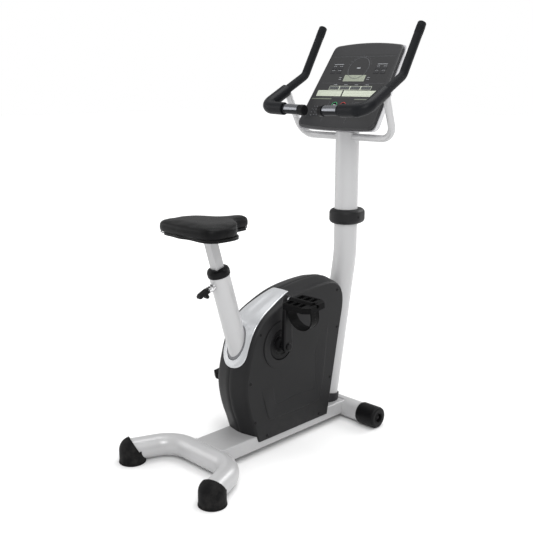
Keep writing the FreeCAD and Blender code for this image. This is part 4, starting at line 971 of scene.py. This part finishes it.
class BIKE_OT_shroud_details(bpy.types.Operator):
    """Raised fields of the side shells, their screw heads and the screws of the collar and console"""
    bl_idname = "bike.shroud_details"
    bl_label = "Shroud details"

    def execute(self, context):
        details = context.scene.bike_details
        for side, name in ((1, "right"), (-1, "left")):
            link(f"shroud_field_{name}", panel_skin(side), "Shroud Plastic", "frame")
        places = [(at(side * 74.25, y, z), Vector((side, 0, 0))) for y, z in SCREWS for side in (1, -1)]
        scatter("shroud_screw_heads", cross_head(), places, "Black Steel", "frame",
                details.screw_radius, 0.8)
        collar = [(at(side * 62.7, 430, 785), Vector((side, 0, 0))) for side in (1, -1)]
        scatter("collar_screws", cross_head(), collar, "Black Steel", "frame", 0.0052, 0.6)
        backing = [(on_face(x, s, -70.2), -FACE_OUT) for x,
                   s in ((-118, 60), (118, 60), (-100, 262), (100, 262))]
        scatter("console_screws", cross_head(), backing, "Black Steel", "frame", 0.0042, 0.8)
        return {"FINISHED"}


# ------------------------------------------------------------------ welds, bolts and base details

MAST_RADIUS = 44
MAST_TOP_Y = 430
WHEEL_Y = 382.6
WHEEL_Z = 40.5
FOOT_X = 210
FOOT_Y = -443


def weld(name, path, radius, closed=False):
    """Weld bead: overlapping scallops along a joint."""
    return bead(name, path, radius, closed=closed, ripple=0.16)


class BIKE_OT_base_details(bpy.types.Operator):
    """Weld beads, wheel bolts, tread rings and the feet's skirts"""
    bl_idname = "bike.base_details"
    bl_label = "Base details"

    def execute(self, context):
        beads = []
        for x0, x1, y, z in ((-68, 68, -274.2, 75.3), (-68, 68, 368.4, 75.6)):
            beads.append(weld("bead", [at(x0 + (x1 - x0) * step / 90, y, z) for step in range(91)], 0.0026))
        ring = [at(35.6 * math.cos(turn), -40.4 + 37.2 * math.sin(turn), 75.6) for turn in turns(110)]
        beads.append(weld("bead", ring, 0.0028, True))
        for side in (1, -1):
            ring = []
            for turn in turns(56):
                y, z = 421 + 13.6 * math.cos(turn), 1084 + 13.6 * math.sin(turn)
                ring.append(at(side * math.sqrt(MAST_RADIUS ** 2 - (y - MAST_TOP_Y) ** 2), y, z))
            beads.append(weld("bead", ring, 0.0019, True))
        link("weld_beads", combine("weld_beads", beads), "Tube Paint", "frame")
        bolts = [(at(side * 212.2, WHEEL_Y, WHEEL_Z), Vector((side, 0, 0))) for side in (1, -1)]
        scatter("wheel_bolt_heads", hex_head(0.55), bolts, "Black Steel", "frame", 0.0088)
        for side, name in ((1, "right"), (-1, "left")):
            hub = circle(at(side * 221.6, WHEEL_Y, WHEEL_Z), FORWARD, UP, 20.5, 72)
            link(f"wheel_rings_{name}", bead("lip", hub, 0.0019, closed=True, sides=8),
                 "Foot Rubber",
                 f"wheel_{name}")
        skirts = []
        for side in (1, -1):
            for radius, level, size in ((45.1, 2.6, 0.0019), (45.05, 8.5, 0.0008)):
                rim = circle(at(side * FOOT_X, FOOT_Y, level), ACROSS, FORWARD, radius, 90)
                skirts.append(bead("skirt", rim, size, closed=True, sides=8))
        link("foot_skirts", combine("foot_skirts", skirts), "Foot Rubber", "frame")
        return {"FINISHED"}


# ------------------------------------------------------------------ pedals

PEDAL_TILT = math.radians(7.4)
PEDAL_INNER_X = 122
PEDAL_HEIGHTS = {1: 558, -1: 218}


def pedal_way(side, x, y, z):
    """Direction of a pedal: x outwards, y forwards, z square to it."""
    lean, rise = math.cos(PEDAL_TILT), math.sin(PEDAL_TILT)
    return Vector((side * x, y * lean - z * rise, y * rise + z * lean))


def pedal_spot(side, x, y, z):
    """Point of a pedal, with x counted from its inner end."""
    way = pedal_way(side, x, y, z)
    return at(side * PEDAL_INNER_X + way.x, way.y, PEDAL_HEIGHTS[side] + way.z)


def stud():
    """Small grip stud: a square frustum with its seat at z = 0."""
    rings = []
    for half, level in ((1.0, 0.0), (0.62, 0.85), (0.5, 0.95)):
        rings.append([Vector((sx * half, sy * half, level)) for sx,
                      sy in ((1, 1), (-1, 1), (-1, -1), (1, -1))])
    mesh = rings_to_mesh("stud", rings)
    shade(mesh, False)
    return mesh


def eyelet():
    """Shallow well with a round lip, finished black as painted shade inside a strap's hole."""
    rings = []
    for radius, level in ((1.25, -0.1), (1.25, 0.12), (1.1, 0.2), (0.98, 0.12), (0.92, -0.05)):
        rings.append([Vector((radius * math.cos(turn), radius * math.sin(turn), level))
                      for turn in turns(20)])
    return rings_to_mesh("eyelet", rings)


class BIKE_OT_pedal_details(bpy.types.Operator):
    """Grip studs, the holes of the straps and the straps' ribs"""
    bl_idname = "bike.pedal_details"
    bl_label = "Pedal details"

    def execute(self, context):
        pitch = context.scene.bike_details.hole_pitch / MM
        for side, name in ((1, "right"), (-1, "left")):
            body = f"pedal_{name}"
            places = []
            for top, way in ((5.0, 1), (-15.0, -1)):
                for y in (-45.5, 45.5):
                    for x in range(12, 96, 7):
                        places.append((pedal_spot(side, x, y, top), pedal_way(side, 0, 0, way)))
            for x in (37, 67):
                for y in (-36, -28, -20, 20, 28, 36):
                    places.append((pedal_spot(side, x, y, 5.0), pedal_way(side, 0, 0, 1)))
            scatter(f"pedal_studs_{name}", stud(), places, "Pedal Rubber", body, 0.0019)
            holes = []
            run = 12.0
            while run < 88:
                if run < 38:
                    spot, way = (106.75, -run), (1, 0)
                else:
                    turn = (run - 38) / 54.65
                    spot = (52 + 54.7 * math.cos(turn), -39.96 - 54.7 * math.sin(turn))
                    way = (math.cos(turn), -math.sin(turn))
                holes.append((pedal_spot(side, spot[0], 0, spot[1]), pedal_way(side, way[0], 0, way[1])))
                run += pitch
            # each hole is a black well: painted shade where the hole's dark inside would be
            scatter(f"strap_holes_{name}", eyelet(), holes, "Painted Hole Shade", body, 0.0024)
            ribs = []
            for y in (-17.6, 17.6):
                path = [pedal_spot(side, 106.6, y, -step) for step in range(4, 39, 2)]
                for step in range(25):
                    turn = math.pi * step / 24
                    path.append(pedal_spot(side, 52 + 54.6 * math.cos(turn), y, -39.96
                                           - 54.6 * math.sin(turn)))
                ribs.append(bead("rib", path, 0.0011, sides=8))
            link(f"strap_ribs_{name}", combine(f"strap_ribs_{name}", ribs), "Pedal Rubber", body)
        return {"FINISHED"}


# ------------------------------------------------------------------ handlebars

class BIKE_OT_grip_details(bpy.types.Operator):
    """Domed grip ends, finger rings and the seams of the rubber covers"""
    bl_idname = "bike.grip_details"
    bl_label = "Grip details"

    def execute(self, context):
        domes, rings, lines = [], [], []
        for side in (1, -1):
            top, knee = at(side * 231.4, 546.4, 1483.6), at(side * 231, 444, 1304)
            corner, inner = at(side * 237, 229, 1190), at(side * 44, 232, 1184)
            way = (top - knee).normalized()
            domes.append(lathe("dome",
                               [(0, -1), (15.4, -1), (15.6, 0.2), (14.6, 2.6), (12, 4.4), (7, 5.6), (0, 6)],
                               top, way, 32))
            across, up = frame_along(way)
            for run in range(0, 6):
                centre = top - way * ((14 + run * 5) * MM)
                rings.append(bead("ring", circle(centre, across, up, 15.7, 48), 0.0009, closed=True, sides=8))
            heading = (corner - knee).normalized()
            across, up = frame_along(heading)
            for share in (0.485, 0.505):
                centre = knee + (corner - knee) * share
                lines.append(bead("seam", circle(centre, across, up, 20.9, 64), 0.0010, closed=True, sides=8))
            heading = (inner - corner).normalized()
            across, up = frame_along(heading)
            start = corner + (inner - corner) * 0.52
            for run, radius, size in ((1.0, 20.9, 0.0010), (12.0, 17.6, 0.0009), (77.5, 17.6, 0.0009)):
                centre = start + heading * (run * MM)
                lines.append(bead("seam", circle(centre, across, up, radius, 64), size, closed=True, sides=8))
        link("grip_ends", combine("grip_ends", domes + rings), "Foam Grip", "frame")
        link("cover_seams", combine("cover_seams", lines), "Cover Rubber", "frame")
        return {"FINISHED"}


# ------------------------------------------------------------------ console

def face_ring(name, x, s, radius, tube, out):
    return bead(name, circle(on_face(x, s, out), ACROSS, FACE_UP, radius, 96), tube * MM, closed=True,
                sides=8)


def bar(x, s, width, height, out=0.0, depth=0.35, corner=0.4):
    mesh = rounded_plate("bar", width * MM, height * MM, depth * MM, corner * MM, 0.12 * MM, 3)
    return placed_on_face(mesh, x, s, out)


KEY_COLUMNS = (-116, -86, 89, 119)
KEYPAD = [(-131 + column * 14.5, 42 + row * 12.5) for column in range(4) for row in range(4)]
DISPLAY_S = 205
LAMP_S = 162.5
BUTTON_S = 88
HOUSING_BACK = -70.0
SEGMENTS = [(0, rise, 7, 0.9) for rise in (8, 0, -8)] + [(x, rise, 0.9, 6.4) for rise in (4, -4) for x in (-4.2, 4.2)]


class BIKE_OT_console_details(bpy.types.Operator):
    """Keys, display segments, lamps, program strips, dial ring and keypad"""
    bl_idname = "bike.console_details"
    bl_label = "Console details"

    def execute(self, context):
        width = context.scene.bike_details.key_width
        key = rounded_plate("key", width, width * 0.5, 0.0011, 0.002, 0.0004)
        keys = [(on_face(x, s, 0.0), FACE_OUT) for x in KEY_COLUMNS for s in (230, 248)]
        scatter("console_keys", key, keys, "Grey Plastic", "frame")
        pad = rounded_plate("membrane_key", 0.0115, 0.0085, 0.0009, 0.002, 0.0004)
        pads = [(on_face(x, s, 0.0), FACE_OUT) for x, s in KEYPAD]
        scatter("keypad_keys", pad, pads, "Grey Plastic", "frame")
        legends = [bar(x + shift, s, 5.5, 1.3) for x in KEY_COLUMNS for s in (239.2, 257.2) for shift in (-4.0, 4.0)]
        legends += [bar(x, 266, 46, 1.5) for x in (-101, 104)]
        legends += [bar(x, s, 3.2, 0.9, 0.9, 0.2) for x, s in KEYPAD]
        legends += [bar(-75 + step * 50, 176, 16, 1.4) for step in range(4)]
        legends += [bar(x, 200 + shift, 12, 1.2) for x in (-66, 66) for shift in (0, 8)]
        legends += [bar(1, 249, 17, 3.4, 0, 0.5, 1.2)]
        dim = [face_ring("dial", 0, 250, 46, 0.75, 0.05)]
        dim += [bar(54 * math.cos(turn), 250 + 54 * math.sin(turn) * 0.98, 2.4, 2.4)
                for turn in (math.pi * (0.1 + 0.8 * step / 10) for step in range(11))]
        dim += [bar(0, s, 296, 0.7, 0, 0.2, 0.2) for s in (183, 300, 119.5)]
        dim += [bar(x, 60, 0.7, 92, 0, 0.2, 0.2) for x in (-68, 44)]
        dim += [bar(96, 52 + step * 12, 84, 1.1) for step in range(5)]
        glass = [bar(0, DISPLAY_S, 99.6, 27.6, -0.45, 0.3, 1.0)]
        smoked = [bar(-75.3 + step * 50.2, LAMP_S, 46, 13.5, -0.45, 0.5, 0.8) for step in range(4)]
        marks = [bar(x + dx, DISPLAY_S + ds, across, high, -0.18, 0.12, 0.3) for x in range(-38, 39, 19)
                 for dx, ds, across, high in SEGMENTS]
        for x in range(-140, 144, 7):
            if -30 < x < -20:
                continue
            for s in (132, 139, 146):
                marks.append(bar(x, s, 4.2, 0.8, -0.42, 0.2, 0.2))
        marks += [bar(x, 114, w, 3.6, 0, 0.3, 1.0) for x, w in ((-114, 98), (97, 104))]
        lamps = [bar(-92 + step * 11.2 + 4.6 * (step // 4), LAMP_S, 3.0, 3.0, 0.05, 0.3, 1.2) for step in range(16)]
        for name, parts, ink, slot in (("console_legends", legends, "Legend Ink", "grey_plastic"),
                                       ("console_lines", dim, "Dim Ink", "grey_plastic"),
                                       ("display_glass", glass, "Display Glass", "lens"),
                                       ("lamp_windows", smoked, "Smoked Window", "lens"),
                                       ("display_marks", marks, "Dark Segment", "lens"),
                                       ("console_lamps", lamps, "Lamp Lens", "green_key")):
            link(name, combine(name, parts), ink, "frame")
        for label, x, material, slot in (("start", -37, "Green Key", "green_key"), ("stop", 3, "Red Key", "red_key")):
            ring = face_ring("ring", x, BUTTON_S, 11.4, 1.1, 0.85)
            link(f"{label}_ring", ring, material, f"{label}_button")
            cap = placed_on_face(rounded_plate("cap", 0.012, 0.0028, 0.0004, 0.0011, 0.00015), x, BUTTON_S, 1.0)
            link(f"{label}_mark", cap, "Legend Ink", f"{label}_button")
        vent = rounded_plate("vent", 0.062, 0.0034, 0.0006, 0.0016, 0.0002)
        vents = [(on_face(x, s, HOUSING_BACK), -FACE_OUT) for x in (-50, 50) for s in range(206, 262, 8)]
        # the vents are raised black slats: painted shade standing in for the dark inside of the slots
        scatter("housing_vents", vent, vents, "Painted Hole Shade", "frame")
        return {"FINISHED"}


# ------------------------------------------------------------------ panel and registration

STEPS = (BIKE_OT_finishes, BIKE_OT_saddle, BIKE_OT_top_cover, BIKE_OT_shroud_details, BIKE_OT_base_details,
         BIKE_OT_pedal_details, BIKE_OT_grip_details, BIKE_OT_console_details, BIKE_OT_stage)


class BIKE_PT_build(bpy.types.Panel):
    """Sidebar list of the pieces"""
    bl_label = "Exercise bike"
    bl_idname = "BIKE_PT_build"
    bl_space_type = "VIEW_3D"
    bl_region_type = "UI"
    bl_category = "Exercise bike"

    def draw(self, context):
        for settings in (context.scene.bike_colours, context.scene.bike_saddle, context.scene.bike_details):
            for name in settings.__annotations__:
                self.layout.prop(settings, name)
        for step in STEPS:
            self.layout.operator(step.bl_idname)


CLASSES = (BikeColours, SaddleSettings, DetailSettings, *STEPS, BIKE_PT_build)


def register():
    for item in CLASSES:
        bpy.utils.register_class(item)
    bpy.types.Scene.bike_colours = bpy.props.PointerProperty(type=BikeColours)
    bpy.types.Scene.bike_saddle = bpy.props.PointerProperty(type=SaddleSettings)
    bpy.types.Scene.bike_details = bpy.props.PointerProperty(type=DetailSettings)


def unregister():
    del bpy.types.Scene.bike_details
    del bpy.types.Scene.bike_saddle
    del bpy.types.Scene.bike_colours
    for item in reversed(CLASSES):
        bpy.utils.unregister_class(item)


def main():
    register()
    for step in STEPS:
        family, name = step.bl_idname.split(".")
        getattr(getattr(bpy.ops, family), name)()


if __name__ == "__main__":
    main()
